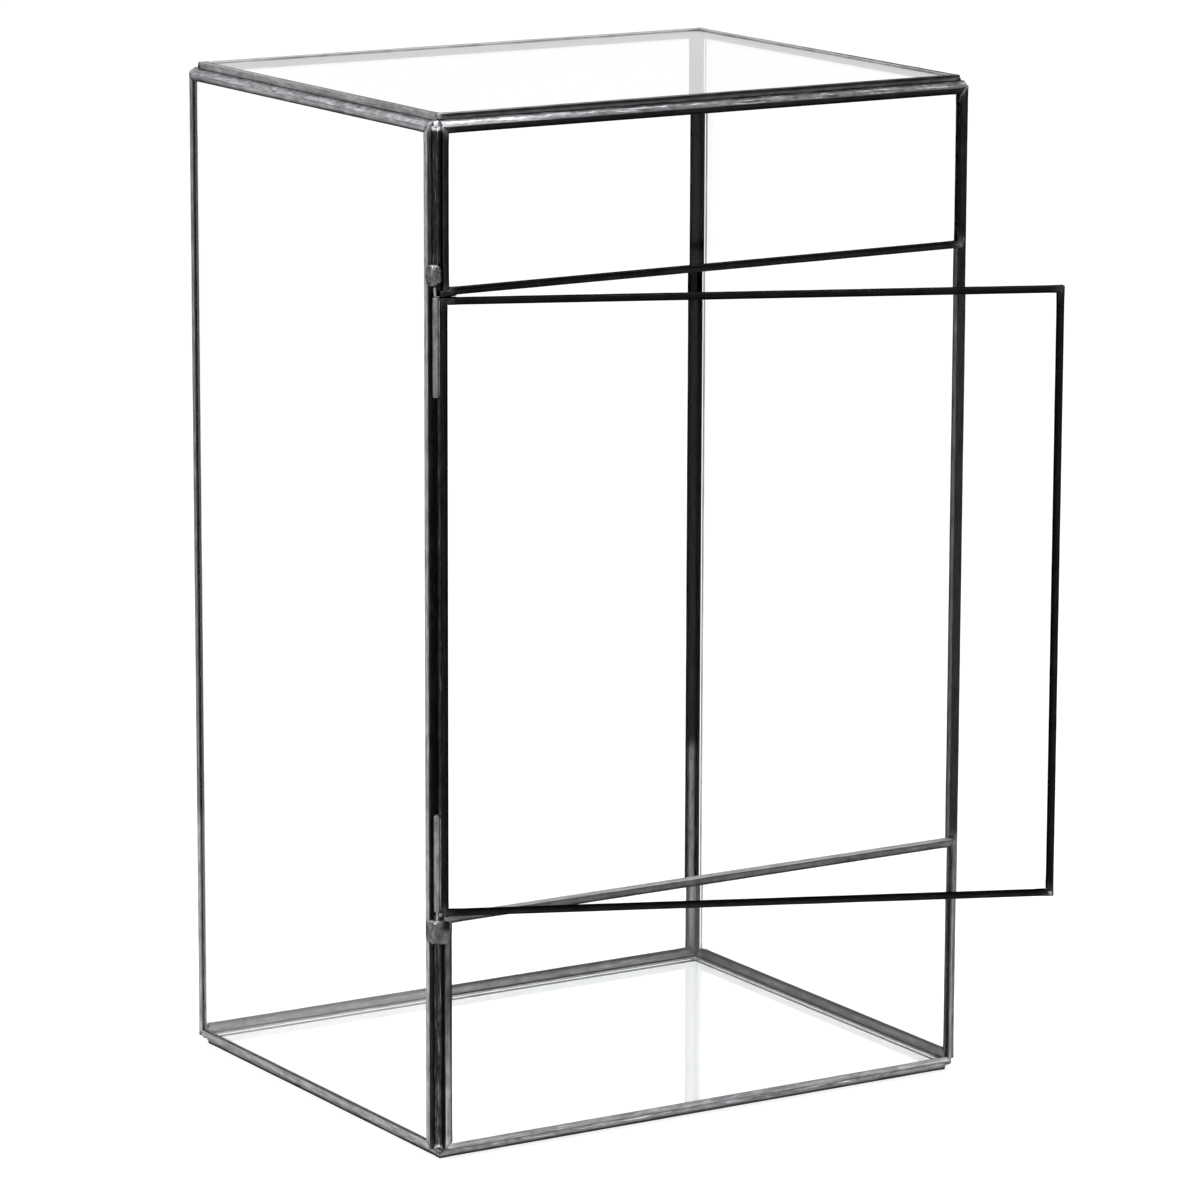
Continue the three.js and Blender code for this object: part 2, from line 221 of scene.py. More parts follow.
class StudioSettings(bpy.types.PropertyGroup):
    place: FloatVectorProperty(
        name="Camera place",
        description="Where the camera stands",
        subtype="TRANSLATION",
        unit="LENGTH",
        default=(-1.2769976, -2.0277255, 0.7040036),
    )
    heading: angle("Heading", "Turn from +Y towards +X", 0.5553513)
    dip: angle("Dip", "Tilt of the camera below level", 0.2065416)
    roll: angle("Roll", "Roll of the camera", 0.0030938)
    focal_length: FloatProperty(
        name="Focal length",
        description="Lens length in millimetres",
        subtype="DISTANCE_CAMERA",
        default=184.938,
    )
    sky: FloatProperty(name="Sky", description="Strength of the light from all round", min=0, default=0.75)
    key: FloatProperty(name="Key", description="Power of the soft lamp on the left", min=0, default=22)
    top: FloatProperty(name="Top", description="Power of the soft lamp overhead", min=0, default=14)
    floor_size: length("Floor size", "Width of the studio floor", 9000)
    seed: IntProperty(name="Seed", description="Shifts every random pattern", min=0, default=4)


SETTINGS = {
    "terrarium_channel": ChannelSettings,
    "terrarium_solder": SolderSettings,
    "terrarium_hinge": HingeSettings,
    "terrarium_finish": FinishSettings,
    "terrarium_studio": StudioSettings,
}


# Places in the frame


def shut(point):
    """A point of the open door, with the door shut."""
    return HINGE_PLACE + SHUTTING_TURN @ (point - HINGE_PLACE)


def ajar(point):
    """A point of the shut door, with the door as far open as the photograph shows it."""
    return HINGE_PLACE + OPENING_TURN @ (point - HINGE_PLACE)


def is_door(node):
    return frame["nodes"][node]["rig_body"] == DOOR_BODY


def shut_box(node):
    """Lowest and highest corner of a node, with the door shut."""
    if not is_door(node):
        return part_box(node)
    corners = [shut(vertex.co) for vertex in frame["nodes"][node].data.vertices]
    low = Vector(min(c[axis] for c in corners) for axis in range(3))
    high = Vector(max(c[axis] for c in corners) for axis in range(3))
    return low, high


def middle(box):
    return (box[0] + box[1]) / 2


CASE_MIDDLE = (middle(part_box("base_glass")) + middle(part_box("top_glass"))) / 2
CASE_LOW = Vector((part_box("left_channel_front")[0].x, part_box("lower_front_channel_left")[0].y, cad_box[0].z))
CASE_HIGH = Vector(cad_box[1])
PANE_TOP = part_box("lower_front_channel_top")[1].z
LOWER_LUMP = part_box("hinge_solder_lower")
LUMP_DARKENING_HEIGHT = middle(LOWER_LUMP).z - 0.5 * MM
TUBE_FREE = (shut_box("hinge_tube_lower")[1].z + 1 * MM, shut_box("hinge_tube_upper")[0].z + 1 * MM)

# The thickness of an edged pane, which is the width and depth of every outside groove too
EDGE = 4.4 * MM


def longest_axis(box):
    size = box[1] - box[0]
    return max(range(3), key=lambda axis: size[axis])


# Wear and painted light


# How light each face is painted, from 0 for black patina to 1 for bare metal, by the way it looks: above the top
# of the lower front pane, and below it. Most of this is painted light and shade: faces that look left are lit as
# if by the lamp on the left, low faces are lighter as a painted reflection of the pale floor, and the grooves,
# the door and the inside faces are painted shade
OUTSIDE_WEAR_AND_LIGHT = {"left": (0.76, 0.8), "right": (0.2, 0.5), "front": (0.17, 0.72), "back": (0.2, 0.5)}
INSIDE_WEAR_AND_LIGHT = {"left": (0.3, 0.46), "right": (0.18, 0.5), "front": (0.16, 0.6), "back": (0.16, 0.5)}
GROOVE_WEAR_AND_SHADE = {"left": (0.17, 0.23), "right": (0.16, 0.17), "front": (0.17, 0.18), "back": (0.16, 0.17)}
DOOR_WEAR_AND_SHADE = {"left": (0.14, 0.16), "right": (0.11, 0.13), "front": (0.12, 0.2), "back": (0.11, 0.13)}
LUMP_WEAR_AND_LIGHT = {"left": (0.42, 0.48), "right": (0.3, 0.4), "front": (0.38, 0.38), "back": (0.25, 0.4)}
CORNER_WEAR_AND_LIGHT = {"left": (0.5, 0.45), "right": (0.3, 0.4), "front": (0.45, 0.42), "back": (0.2, 0.3)}


def sideways_wear_and_light(table, normal, low):
    """The painted light of a face, from how far it looks left or right, and to the front or back."""
    along = table["left" if normal.x < 0 else "right"]
    across = table["front" if normal.y < 0 else "back"]
    return normal.x**2 * mix(*along, low) + normal.y**2 * mix(*across, low)


def lowness(place):
    """0 above the top of the lower front pane, and 1 below it."""
    return 1 - smooth_step(PANE_TOP - 3 * MM, PANE_TOP + 4 * MM, place.z)


def shares_across(place):
    """How far right and how far back a place is, as shares of the whole width and depth."""
    return [(place[axis] - CASE_LOW[axis]) / (CASE_HIGH[axis] - CASE_LOW[axis]) for axis in range(2)]


def darker_at_foot(place, black, undarkened):
    """Darkens everything at the foot of the case: black is the height up to which it is darkest, clean the
    height where the darkening ends.
    """
    return mix(0.3, 1, smooth_step(CASE_LOW.z + black, CASE_LOW.z + undarkened, place.z))


def in_upright_groove(normal, place):
    """Whether a face of channel lies in one of the four upright corner grooves."""
    slack = 0.02 * MM
    if not CASE_LOW.z + EDGE + slack < place.z < CASE_HIGH.z - EDGE - slack:
        return False
    for axis in range(2):
        if abs(normal[axis]) > 0.5:
            outer = CASE_LOW[axis] if normal[axis] < 0 else CASE_HIGH[axis]
            if EDGE - 0.3 * MM < abs(place[axis] - outer) < EDGE + 1.6 * MM:
                return True
    return False


def is_post_lip(place):
    """Whether a place is on the front left post, below the top of the lower front pane."""
    return place.x < CASE_LOW.x + EDGE + 3.6 * MM and place.z < PANE_TOP


def is_near_lump(place):
    """Whether a place is in the band of the front left post that the lower lump was wiped over."""
    low, high = LOWER_LUMP
    near = place.x < CASE_LOW.x + EDGE + 4.1 * MM and place.y < CASE_LOW.y + EDGE + 3.6 * MM
    return near and low.z + 0.8 * MM < place.z < high.z - 1.2 * MM


def outward_table(place, on_top):
    """The painted light of channel that looks out of the case: less at the back of the left wall, and in front a
    dark top edge, a dull band below the door and a dark upper half of the lower left lip, as painted shade."""
    behind = shares_across(place)[1]
    table = dict(OUTSIDE_WEAR_AND_LIGHT)
    left, low_left = table["left"]
    front, low_front = table["front"]
    crown = mix(0.46, 0.16, smooth_step(-1.9 * MM, -0.6 * MM, place.z - CASE_HIGH.z))
    dull = smooth_step(PANE_TOP - 40 * MM, PANE_TOP - 2 * MM, place.z)
    lowest = mix(low_front, 0.48, dull)
    if is_post_lip(place):
        lowest = mix(low_front, 0.4, smooth_step(CASE_LOW.z + 28 * MM, CASE_LOW.z + 62 * MM, place.z))
    table["left"] = mix(left, 0.62, smooth_step(0.9, 1, behind)), low_left
    table["front"] = mix(front, crown, on_top), lowest
    return table


def inward_table(place, on_top):
    """The painted light and shade of channel that looks into the case, which is painted bright round the base
    and the top.
    """
    rightward, behind = shares_across(place)
    table = dict(INSIDE_WEAR_AND_LIGHT)
    table["left"] = mix(0.44, 0.16, smooth_step(0.1, 0.9, behind)), table["left"][1]
    if behind > 0.9 and rightward < 0.1:
        table["front"] = 0.34, 0.5
    if place.z < CASE_LOW.z + EDGE + 0.2 * MM:
        table["left"] = table["front"] = 0.95, 0.95
    for side in ("left", "front"):
        table[side] = mix(table[side][0], 1.1, on_top), table[side][1]
    return table


def upward_highlight(place, on_top):
    """The painted highlight on channel that looks up, from the dull base to the bright top."""
    rightward, behind = shares_across(place)
    ledge = mix(1.0, 0.62, smooth_step(0, 0.7, rightward)) * mix(1, 0.85, smooth_step(0, 0.05, behind))
    bright = mix(1.0, mix(ledge, 1.1, smooth_step(0.2, 0.9, behind)), on_top)
    return mix(0.65, bright, smooth_step(CASE_LOW.z + EDGE + 1.6 * MM, PANE_TOP, place.z))


# Each function from here to the next heading gives one kind of piece its tone: its wear, and light and shade
# painted by the way each face looks and where it sits. All take the same three values from add_piece, also those
# that need fewer


def channel_wear_and_light(normal, place, is_on_door):
    """Channel is painted lighter where it looks up or to the left, as if lit from there, and low on the case, as
    a painted reflection of the floor; it is painted darker in the upright grooves, on the door and on most
    inside faces, as shade.
    """
    top_of_wall = CASE_HIGH.z - EDGE
    on_top = smooth_step(top_of_wall - 0.6 * MM, top_of_wall + 0.4 * MM, place.z)
    upward = upward_highlight(place, on_top)
    if is_on_door:
        table = DOOR_WEAR_AND_SHADE
        upward = 0.16
    elif (place - CASE_MIDDLE).xy.dot(normal.xy) <= 0:
        table = inward_table(place, on_top)
    elif in_upright_groove(normal, place):
        on_left_post = place.x < CASE_MIDDLE.x
        table = {**GROOVE_WEAR_AND_SHADE, "front": (0.3, 0.2) if on_left_post else (0.17, 0.5)}
    else:
        table = outward_table(place, on_top)
    worn = sideways_wear_and_light(table, normal, lowness(place))
    worn += normal.z**2 * (upward if normal.z > 0 else 0.14)
    if is_near_lump(place):
        worn = 0.45
    return worn * darker_at_foot(place, 0.5 * MM, 1.8 * MM)


def groove_wear_and_light(normal, place, is_on_door):
    """Solder is painted dark in the upright grooves, as shade, and painted bright on the level runs and where it
    looks up, as highlights; the door's solder is painted lighter where it looks forward beside the tubes.
    """
    rightward = shares_across(place)[0]
    side = sideways_wear_and_light(GROOVE_WEAR_AND_SHADE, normal, lowness(place))
    if is_on_door:
        near_tube = not TUBE_FREE[0] < place.z < TUBE_FREE[1]
        return 0.46 if near_tube and normal.y < 0 else 0.16
    if place.z > CASE_HIGH.z - 6 * MM:
        bright = mix(0.88, 0.5, smooth_step(0, 0.4, rightward))
        if place.y > CASE_LOW.y + 5 * MM and place.x < CASE_MIDDLE.x:
            bright = 0.8
        return mix(bright, 0.34, smooth_step(-2.7 * MM, -2.1 * MM, place.z - CASE_HIGH.z))
    if place.z < CASE_LOW.z + 6 * MM:
        return 0.62 if normal.z < 0.5 else 0.5
    if place.x > CASE_MIDDLE.x:
        side = mix(side, 0.42, lowness(place))
    return side + smooth_step(0.2, 0.9, normal.z) * 0.4


def corner_wear_and_light(normal, place, is_on_door):
    """Solder in the corners is dull, with a painted highlight on the top front left one and on faces that look
    up in the top corners, and painted shade on those that look up in the base corners.
    """
    side = sideways_wear_and_light(CORNER_WEAR_AND_LIGHT, normal, lowness(place))
    nearest = place.z > CASE_MIDDLE.z and place.x < CASE_MIDDLE.x and place.y < CASE_MIDDLE.y
    if nearest:
        side = 0.8
    upward = 0.3 if place.z > CASE_MIDDLE.z else -0.2
    worn = side + normal.z**2 * (upward if normal.z > 0 else 0.1)
    return worn * darker_at_foot(place, 0.3 * MM, 1.1 * MM)


def door_solder_wear_and_light(normal, place, is_on_door):
    """The wiped corners of the door are dull, and brightest at the bottom of its free side; faces that look
    front or back are painted lighter than the rest, as a sheen.
    """
    bright = 0.55 if place.x > CASE_MIDDLE.x and place.z < CASE_MIDDLE.z else 0.22
    return bright * mix(0.6, 1, normal.y**2)


def lump_wear_and_light(normal, place, is_on_door):
    """A lump is dull on its sides, with a painted highlight on top and painted shade below; both lumps are
    darker on their right, the lower one most above its middle.
    """
    low = lowness(place)
    side = sideways_wear_and_light(LUMP_WEAR_AND_LIGHT, normal, low)
    rightward = place.x - CASE_LOW.x
    right_darkening = smooth_step(2 * MM, 5 * MM, rightward) * smooth_step(-1 * MM, 2.5 * MM, place.z - LUMP_DARKENING_HEIGHT)
    side *= mix(mix(1, 0.4, smooth_step(2.4 * MM, 4 * MM, rightward)), mix(1, 0.3, right_darkening), low)
    return mix(side, 1.1, smooth_step(0.45, 0.85, normal.z)) * mix(1, 0.3, smooth_step(0.3, 0.8, -normal.z))


def tube_end_highlight(normal, place, is_on_door):
    """A tube shows the same satin grey all round, with a painted highlight on its rounded ends."""
    return mix(0.86, 1.3, smooth_step(0.3, 0.8, abs(normal.z)))


def wire_side_light(normal, place, is_on_door):
    """The wire is painted lit on its left and painted shaded on its right."""
    return mix(1.35, 0.35, smooth_step(-0.5, 0.6, normal.x))


# Meshes


def waves(x, y, seed):
    """Smooth noise between -1 and 1 at a place given in wavelengths."""
    return noise.noise(Vector((x, y, seed * 7.31)))


def band_faces(rings, size):
    """Faces between rings of size points each, that follow one another in a point list, and a
    face over each end."""
    faces = []
    for start in range(0, (rings - 1) * size, size):
        for i in range(size):
            j = (i + 1) % size
            faces.append((start + i, start + j, start + j + size, start + i + size))
    last = (rings - 1) * size
    faces.append(tuple(reversed(range(size))))
    faces.append(tuple(range(last, last + size)))
    return faces


def add_piece(name, points, faces, look, body, tone_rule, stands_for, layers, sharp=35):
    """Makes one piece from points in the frame with the door shut, gives it its wear and painted light, opens it
    with the door where it rides there, and hangs it on its body. Layers are further values for its material."""
    shape = bmesh.new()
    kept = {"wear_and_light": shape.verts.layers.float.new("wear_and_light")}
    for layer_name, values in layers.items():
        kinds = shape.verts.layers.float_vector if isinstance(values[0], Vector) else shape.verts.layers.float
        kept[layer_name] = kinds.new(layer_name)
    vertices = [shape.verts.new(point) for point in points]
    for face in faces:
        shape.faces.new([vertices[i] for i in face])
    bmesh.ops.recalc_face_normals(shape, faces=shape.faces)
    shape.normal_update()
    for i, vertex in enumerate(vertices):
        # Each vertex stores how light it is painted: its wear, with light and shade painted by the way it looks
        # and where it sits
        vertex[kept["wear_and_light"]] = tone_rule(vertex.normal, vertex.co, body == DOOR_BODY)
        for layer_name, values in layers.items():
            vertex[kept[layer_name]] = values[i]
    for edge in shape.edges:
        edge.smooth = len(edge.link_faces) != 2 or edge.calc_face_angle() < math.radians(sharp)
    for face in shape.faces:
        face.smooth = True
    if body == DOOR_BODY:
        for vertex in shape.verts:
            vertex.co = ajar(vertex.co)
    mesh = bpy.data.meshes.new(name)
    shape.to_mesh(mesh)
    shape.free()
    mesh.materials.append(look)
    piece = bpy.data.objects.new(name, mesh)
    bpy.context.scene.collection.objects.link(piece)
    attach(piece, body)
    if stands_for:
        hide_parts(*stands_for)
    return piece


# Folded channel


def arc(centre, radius, start, end, steps):
    """Points on an arc, each with its outward direction, from start to end in quarter turns."""
    made = []
    for i in range(steps + 1):
        turn = mix(start, end, i / steps) * math.pi / 2
        way = Vector((math.cos(turn), math.sin(turn)))
        made.append((Vector(centre) + radius * way, way))
    return made


def flat(start, end, way, steps):
    """Points between two places, without the ends, that all look the same way."""
    return [(Vector(start).lerp(Vector(end), i / steps), Vector(way)) for i in range(1, steps)]


# How far the two lips of a strip reach over the glass, in millimetres, where its folds are uneven:
# first the lip towards the left, front or bottom, then the other
UNEVEN_LIPS = {
    "upper_front_channel_right": (3.0, 2.9),
    "upper_front_channel_left": (2.6, 2.6),
    "upper_front_channel_bottom": (2.95, 2.9),
    "lower_front_channel_right": (2.0, 1.5),
    "lower_front_channel_left": (3.3, 2.1),
    "lower_front_channel_top": (3.2, 2.6),
    "lower_front_channel_bottom": (2.3, 1.6),
    "back_channel_left": (1.3, 1.2),
    "back_channel_right": (4.5, 3.8),
    "back_channel_bottom": (3.9, 3.6),
    "left_channel_front": (3.1, 2.75),
    "right_channel_front": (3.2, 2.9),
    "right_channel_back": (1.8, 1.0),
    "right_channel_bottom": (4.2, 3.6),
    "base_channel_back": (1.3, 1.4),
    "base_channel_right": (1.3, 1.4),
    "base_channel_left": (2.7, 2.0),
    "base_channel_front": (2.7, 2.0),
    "door_channel_top": (2.6, 2.5),
    "door_channel_bottom": (2.6, 2.5),
}

# Strips whose lips get no painted shade near the tip
LIGHT_TIPS = (
    "top_channel_back",
    "top_channel_right",
    "lower_front_channel_bottom",
    "left_channel_front",
    "left_channel_back",
    "left_channel_bottom",
    "base_channel_back",
    "base_channel_right",
)


# Wavelengths of what hand work leaves on a strip, along it and around it
LONG_WAVE = (17 * MM, 5 * MM)
SMALL_DENT = (5 * MM, 2.4 * MM)
WIPED_EDGE = (9 * MM, 1.7 * MM)


def channel_section(settings, thickness, covers):
    """The outline of a folded channel: x runs inward from its web and y across the pane. Each
    point has its outward direction, which is None inside the slot."""
    half = thickness / 2
    wall, fold, tip = settings.wall, settings.fold_radius, settings.tip_radius
    first, second = covers
    outer = [
        *arc((first - tip, -half + tip), tip, 0, -1, 3),
        *flat((first - tip, -half), (fold, -half), (0, -1), 6),
        *arc((fold, -half + fold), fold, -1, -2, 5),
        *flat((0, -half + fold), (0, half - fold), (-1, 0), 7),
        *arc((fold, half - fold), fold, 2, 1, 5),
        *flat((fold, half), (second - tip, half), (0, 1), 6),
        *arc((second - tip, half - tip), tip, 1, 0, 3),
    ]
    inner = [
        (Vector(place), None)
        for place in (
            (second, half - wall),
            (wall, half - wall),
            (wall, -half + wall),
            (first, -half + wall),
        )
    ]
    return outer + inner


def strip_box(settings, node):
    """The shut box of a length of channel. The door's frame stands a little proud at its top and bottom."""
    low, high = shut_box(node)
    if is_door(node):
        low.z += settings.door_rise if node.endswith("top") else -settings.door_drop
        high.z += -settings.door_drop if node.endswith("bottom") else settings.door_rise
    return low, high


def strip_axes(box, pane):
    """The axes of a strip: along it, across the pane, and from its web towards the pane's middle."""
    along = longest_axis(box)
    others = [axis for axis in range(3) if axis != along]
    across = min(others, key=lambda axis: abs(middle(box)[axis] - pane[axis]))
    depth = next(axis for axis in others if axis != across)
    return along, across, depth


def sunk(settings, distance, reach, wipe, seed):
    """How deep the skin of a strip lies below its true face: bare metal lies lower than the solder
    that is wiped over its ends, and hand work leaves long waves and small dents."""
    wave = waves(distance / LONG_WAVE[0], reach / LONG_WAVE[1], seed + 3)
    dent = waves(distance / SMALL_DENT[0], reach / SMALL_DENT[1], seed + 5)
    return max(settings.sink * (1 - wipe) + settings.wobble * (0.6 * wave + 0.4 * dent), 0)


def add_channel(settings, node, glass, look, seed):
    """One mitred length of channel, a little wavy, with its ends tinned by the corner's solder."""
    box = strip_box(settings, node)
    low, high = box
    pane = middle(shut_box(glass))
    along, across, depth = strip_axes(box, pane)
    inward = 1 if pane[depth] > middle(box)[depth] else -1
    web = low[depth] if inward > 0 else high[depth]
    even_lip = (high[depth] - low[depth]) / MM
    covers = [cover * MM for cover in UNEVEN_LIPS.get(node, (even_lip, even_lip))]
    section = channel_section(settings, high[across] - low[across], covers)
    run = high[along] - low[along]
    count = max(8, round(run / settings.step))
    around = [0.0]
    for (here, _), (there, _) in zip(section, section[1:]):
        around.append(around[-1] + (there - here).length)

    points, runs, tinned, edge_shade = [], [], [], []
    for ring in range(count + 1):
        place = ring / count
        for (spot, way), reach in zip(section, around):
            distance = spot.x + place * (run - 2 * spot.x)
            from_end = min(place, 1 - place) * (run - 2 * spot.x)
            edge = waves(reach / WIPED_EDGE[1], distance / WIPED_EDGE[0], seed)
            wipe = 1 - smooth_step(0.35, 1, from_end / (settings.wipe * (1 + 0.45 * edge)))
            if way:
                spot = spot - way * sunk(settings, distance, reach, wipe, seed)
            point = Vector((0, 0, 0))
            point[along] = low[along] + distance
            point[depth] = web + inward * spot.x
            point[across] = (low[across] + high[across]) / 2 + spot.y
            points.append(point)
            runs.append(Vector((distance / MM, reach / MM, seed * 11.3)))
            tinned.append(wipe if way else 0)
            # Painted shade on each lip near its tip, apart from the strips in LIGHT_TIPS
            tip = covers[0] if spot.y < 0 else covers[1]
            near_tip = smooth_step(tip - 1.5 * MM, tip - 0.2 * MM, spot.x)
            edge_shade.append(0 if node in LIGHT_TIPS else near_tip)
    body = DOOR_BODY if is_door(node) else CASE_BODY
    faces = band_faces(count + 1, len(section))
    layers = {"run": runs, "tinned": tinned, "edge_shade": edge_shade}
    return add_piece(node + "_strip", points, faces, look, body, channel_wear_and_light, (node,), layers)


# Solder


# The two runs that fill their groove out over the ledge below the top pane, and how much of the
# usual height they reach on the other wall
FILLED_RUNS = {"solder_top_front": 0.84, "solder_top_left": 0.68}

# Where two painted highlight lines follow an upright run, in points of its outline
CRESTS = (4.6, 9.5)

# Wavelengths along a run
SLOW_WANDER = 6.5 * MM
QUICK_WANDER = 2.3 * MM
TOE_WAVE = 4 * MM
POOL = 3.1 * MM
CREST_DRIFT = 30 * MM


def run_box(node):
    """The box of a run of solder. Those in the hinge's groove stop short of the door's opening."""
    low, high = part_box(node)
    setback = 0.2 * MM
    if node == "solder_front_left_upper":
        low.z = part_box("upper_front_channel_bottom")[0].z + setback
    if node == "solder_front_left_lower":
        high.z = PANE_TOP - setback
    return low, high


def solder_legs(settings, node, distance, from_end, seed):
    """How far a run reaches on each wall of its groove, at a distance along it."""
    flare = max(0, 1 - from_end / settings.flare) ** 2
    legs = []
    for side in range(2):
        wander = waves(distance / SLOW_WANDER, side * 5.2, seed) * 0.7
        wander += waves(distance / QUICK_WANDER, side * 9.1, seed + 1) * 0.3
        legs.append(mix(settings.leg + settings.wander * wander, settings.end_leg, flare))
    if node in FILLED_RUNS:
        legs[0] = settings.ledge_leg + 0.3 * (legs[0] - settings.leg)
        legs[1] *= FILLED_RUNS[node]
    return legs


def solder_outline(settings, legs, fullness, distance, seed):
    """The outline of a run across its groove: its face from one rounded toe to the other, then its
    bed. Each point has its distances from the groove's root, along one wall and along the other."""
    toe = settings.toe * (1 + 0.4 * waves(distance / TOE_WAVE, 3.3, seed + 2))
    bed, nip = settings.bed, 0.1 * MM
    outline = [(legs[0] - nip, -bed), (legs[0] + 0.3 * toe, 0.2 * toe)]
    sides = 14
    for i in range(sides + 1):
        across = i / sides
        turn = across * math.pi / 2
        pool = waves(distance / POOL, across * 1.5, seed + 4)
        lift = math.sin(2 * turn) * settings.ripple * (0.35 + 0.9 * pool)
        first = mix(toe, legs[0], 1 - mix(math.sin(turn), across, fullness))
        second = mix(toe, legs[1], 1 - mix(math.cos(turn), 1 - across, fullness))
        outline.append((first + lift * math.sin(turn), second + lift * math.cos(turn)))
    outline += [(0.2 * toe, legs[1] + 0.3 * toe), (-bed, legs[1] - nip), (-bed, -bed)]
    return outline


def add_solder_run(settings, node, look, seed):
    """A run of solder in the groove between two channels, laid down in short overlapping pools."""
    box = run_box(node)
    low, high = box
    along = longest_axis(box)
    is_upright = along == 2
    walls = [axis for axis in range(3) if axis != along]
    outward = [1 if middle(box)[axis] > CASE_MIDDLE[axis] else -1 for axis in walls]
    root = [low[axis] if way > 0 else high[axis] for axis, way in zip(walls, outward)]
    full = [high[axis] - low[axis] for axis in walls]
    run = high[along] - low[along]
    count = max(6, round(run / settings.step))
    fullness = settings.fullness if node in FILLED_RUNS else 0
    starts_low = low.z < CASE_LOW.z + 8 * MM
    crest_highlight_share = 0
    if is_upright:
        crest_highlight_share = 1 if starts_low else 0.12
    points, runs, edge_shade, crest_highlight = [], [], [], []
    for ring in range(count + 1):
        distance = run * ring / count
        legs = solder_legs(settings, node, distance, min(distance, run - distance), seed)
        outline = solder_outline(settings, legs, fullness, distance, seed)
        drift = 1.5 * waves(distance / CREST_DRIFT, 0.7, seed + 6)
        for reach, (first, second) in enumerate(outline):
            point = Vector((0, 0, 0))
            point[along] = low[along] + distance
            point[walls[0]] = root[0] + outward[0] * min(first, max(full[0], legs[0]))
            point[walls[1]] = root[1] + outward[1] * min(second, full[1])
            points.append(point)
            runs.append(Vector((distance / MM, reach * 0.25, seed * 5.7)))
            # Painted shade along the toes of a run: both toes of an upright run, the toe on the second wall of a
            # level one
            from_toe = len(outline) - 2 - reach
            if is_upright:
                from_toe = min(reach, from_toe)
            edge_shade.append(1 - smooth_step(0.6, 3, from_toe))
            # Painted highlights along the two crests, full on the upright runs that start at the base and faint
            # on the others
            from_crest = min(abs(reach - CRESTS[0] - drift), abs(reach - CRESTS[1] - drift) + 0.3)
            crest_highlight.append((1 - smooth_step(0.3, 1.3, from_crest)) * crest_highlight_share)
    faces = band_faces(count + 1, len(outline))
    layers = {"run": runs, "edge_shade": edge_shade, "crest_highlight": crest_highlight}
    return add_piece(node + "_run", points, faces, look, CASE_BODY, groove_wear_and_light, (node,), layers)


def add_lump(
    name,
    centre,
    radii,
    look,
    seed,
    tone_rule,
    relief,
    squareness=0.85,
    stands_for=(),
    detail=4,
    box=None,
    body=CASE_BODY,
):
    """A lump of solder: a rounded block whose skin is broken by folds, pits and drips. It is kept
    inside its box, if it has one."""
    ball = bmesh.new()
    bmesh.ops.create_icosphere(ball, subdivisions=detail, radius=1)
    ball.verts.ensure_lookup_table()
    fold_width = 0.12
    points, runs = [], []
    for vertex in ball.verts:
        way = vertex.co.normalized()
        squared = Vector(math.copysign(abs(c) ** squareness, c) for c in way)
        coarse = noise.noise(way * 1.7 + Vector((seed * 3.1, 0, 0)))
        fine = noise.noise(way * 4.3 + Vector((0, seed * 2.7, 0)))
        crease = abs(noise.noise(way * 2.6 + Vector((0, 0, seed * 1.9))))
        fold = max(0, 1 - crease / fold_width)
        swell = 1 + relief * (1.1 * coarse + 0.5 * fine - 0.42 * fold)
        point = Vector(centre) + Vector(s * r * swell for s, r in zip(squared, radii))
        if box:
            point = Vector(min(max(p, a), b) for p, a, b in zip(point, *box))
        points.append(point)
        runs.append(point / MM)
    faces = [tuple(v.index for v in face.verts) for face in ball.faces]
    ball.free()
    return add_piece(name, points, faces, look, body, tone_rule, stands_for, {"run": runs}, sharp=60)


# The sides of the case that are low on their axis
LOW_SIDES = ("left", "front", "base")


def case_corner(level, side_x, side_y):
    """The root of the three grooves that meet at a corner of the case."""
    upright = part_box(f"solder_back_{side_x}")
    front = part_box("solder_front_left_lower")
    x = upright[1].x if side_x == "left" else upright[0].x
    y = upright[0].y if side_y == "back" else front[1].y
    z = upright[1].z if level == "top" else upright[0].z
    return Vector((x, y, z))


# Hinges


def tube_box(settings, node):
    """The box of a hinge tube with the door shut, raised as far as it was soldered on too high."""
    low, high = shut_box(node)
    rise = settings.upper_rise if node.endswith("upper") else settings.lower_rise
    return low + Vector((0, 0, rise)), high + Vector((0, 0, rise))


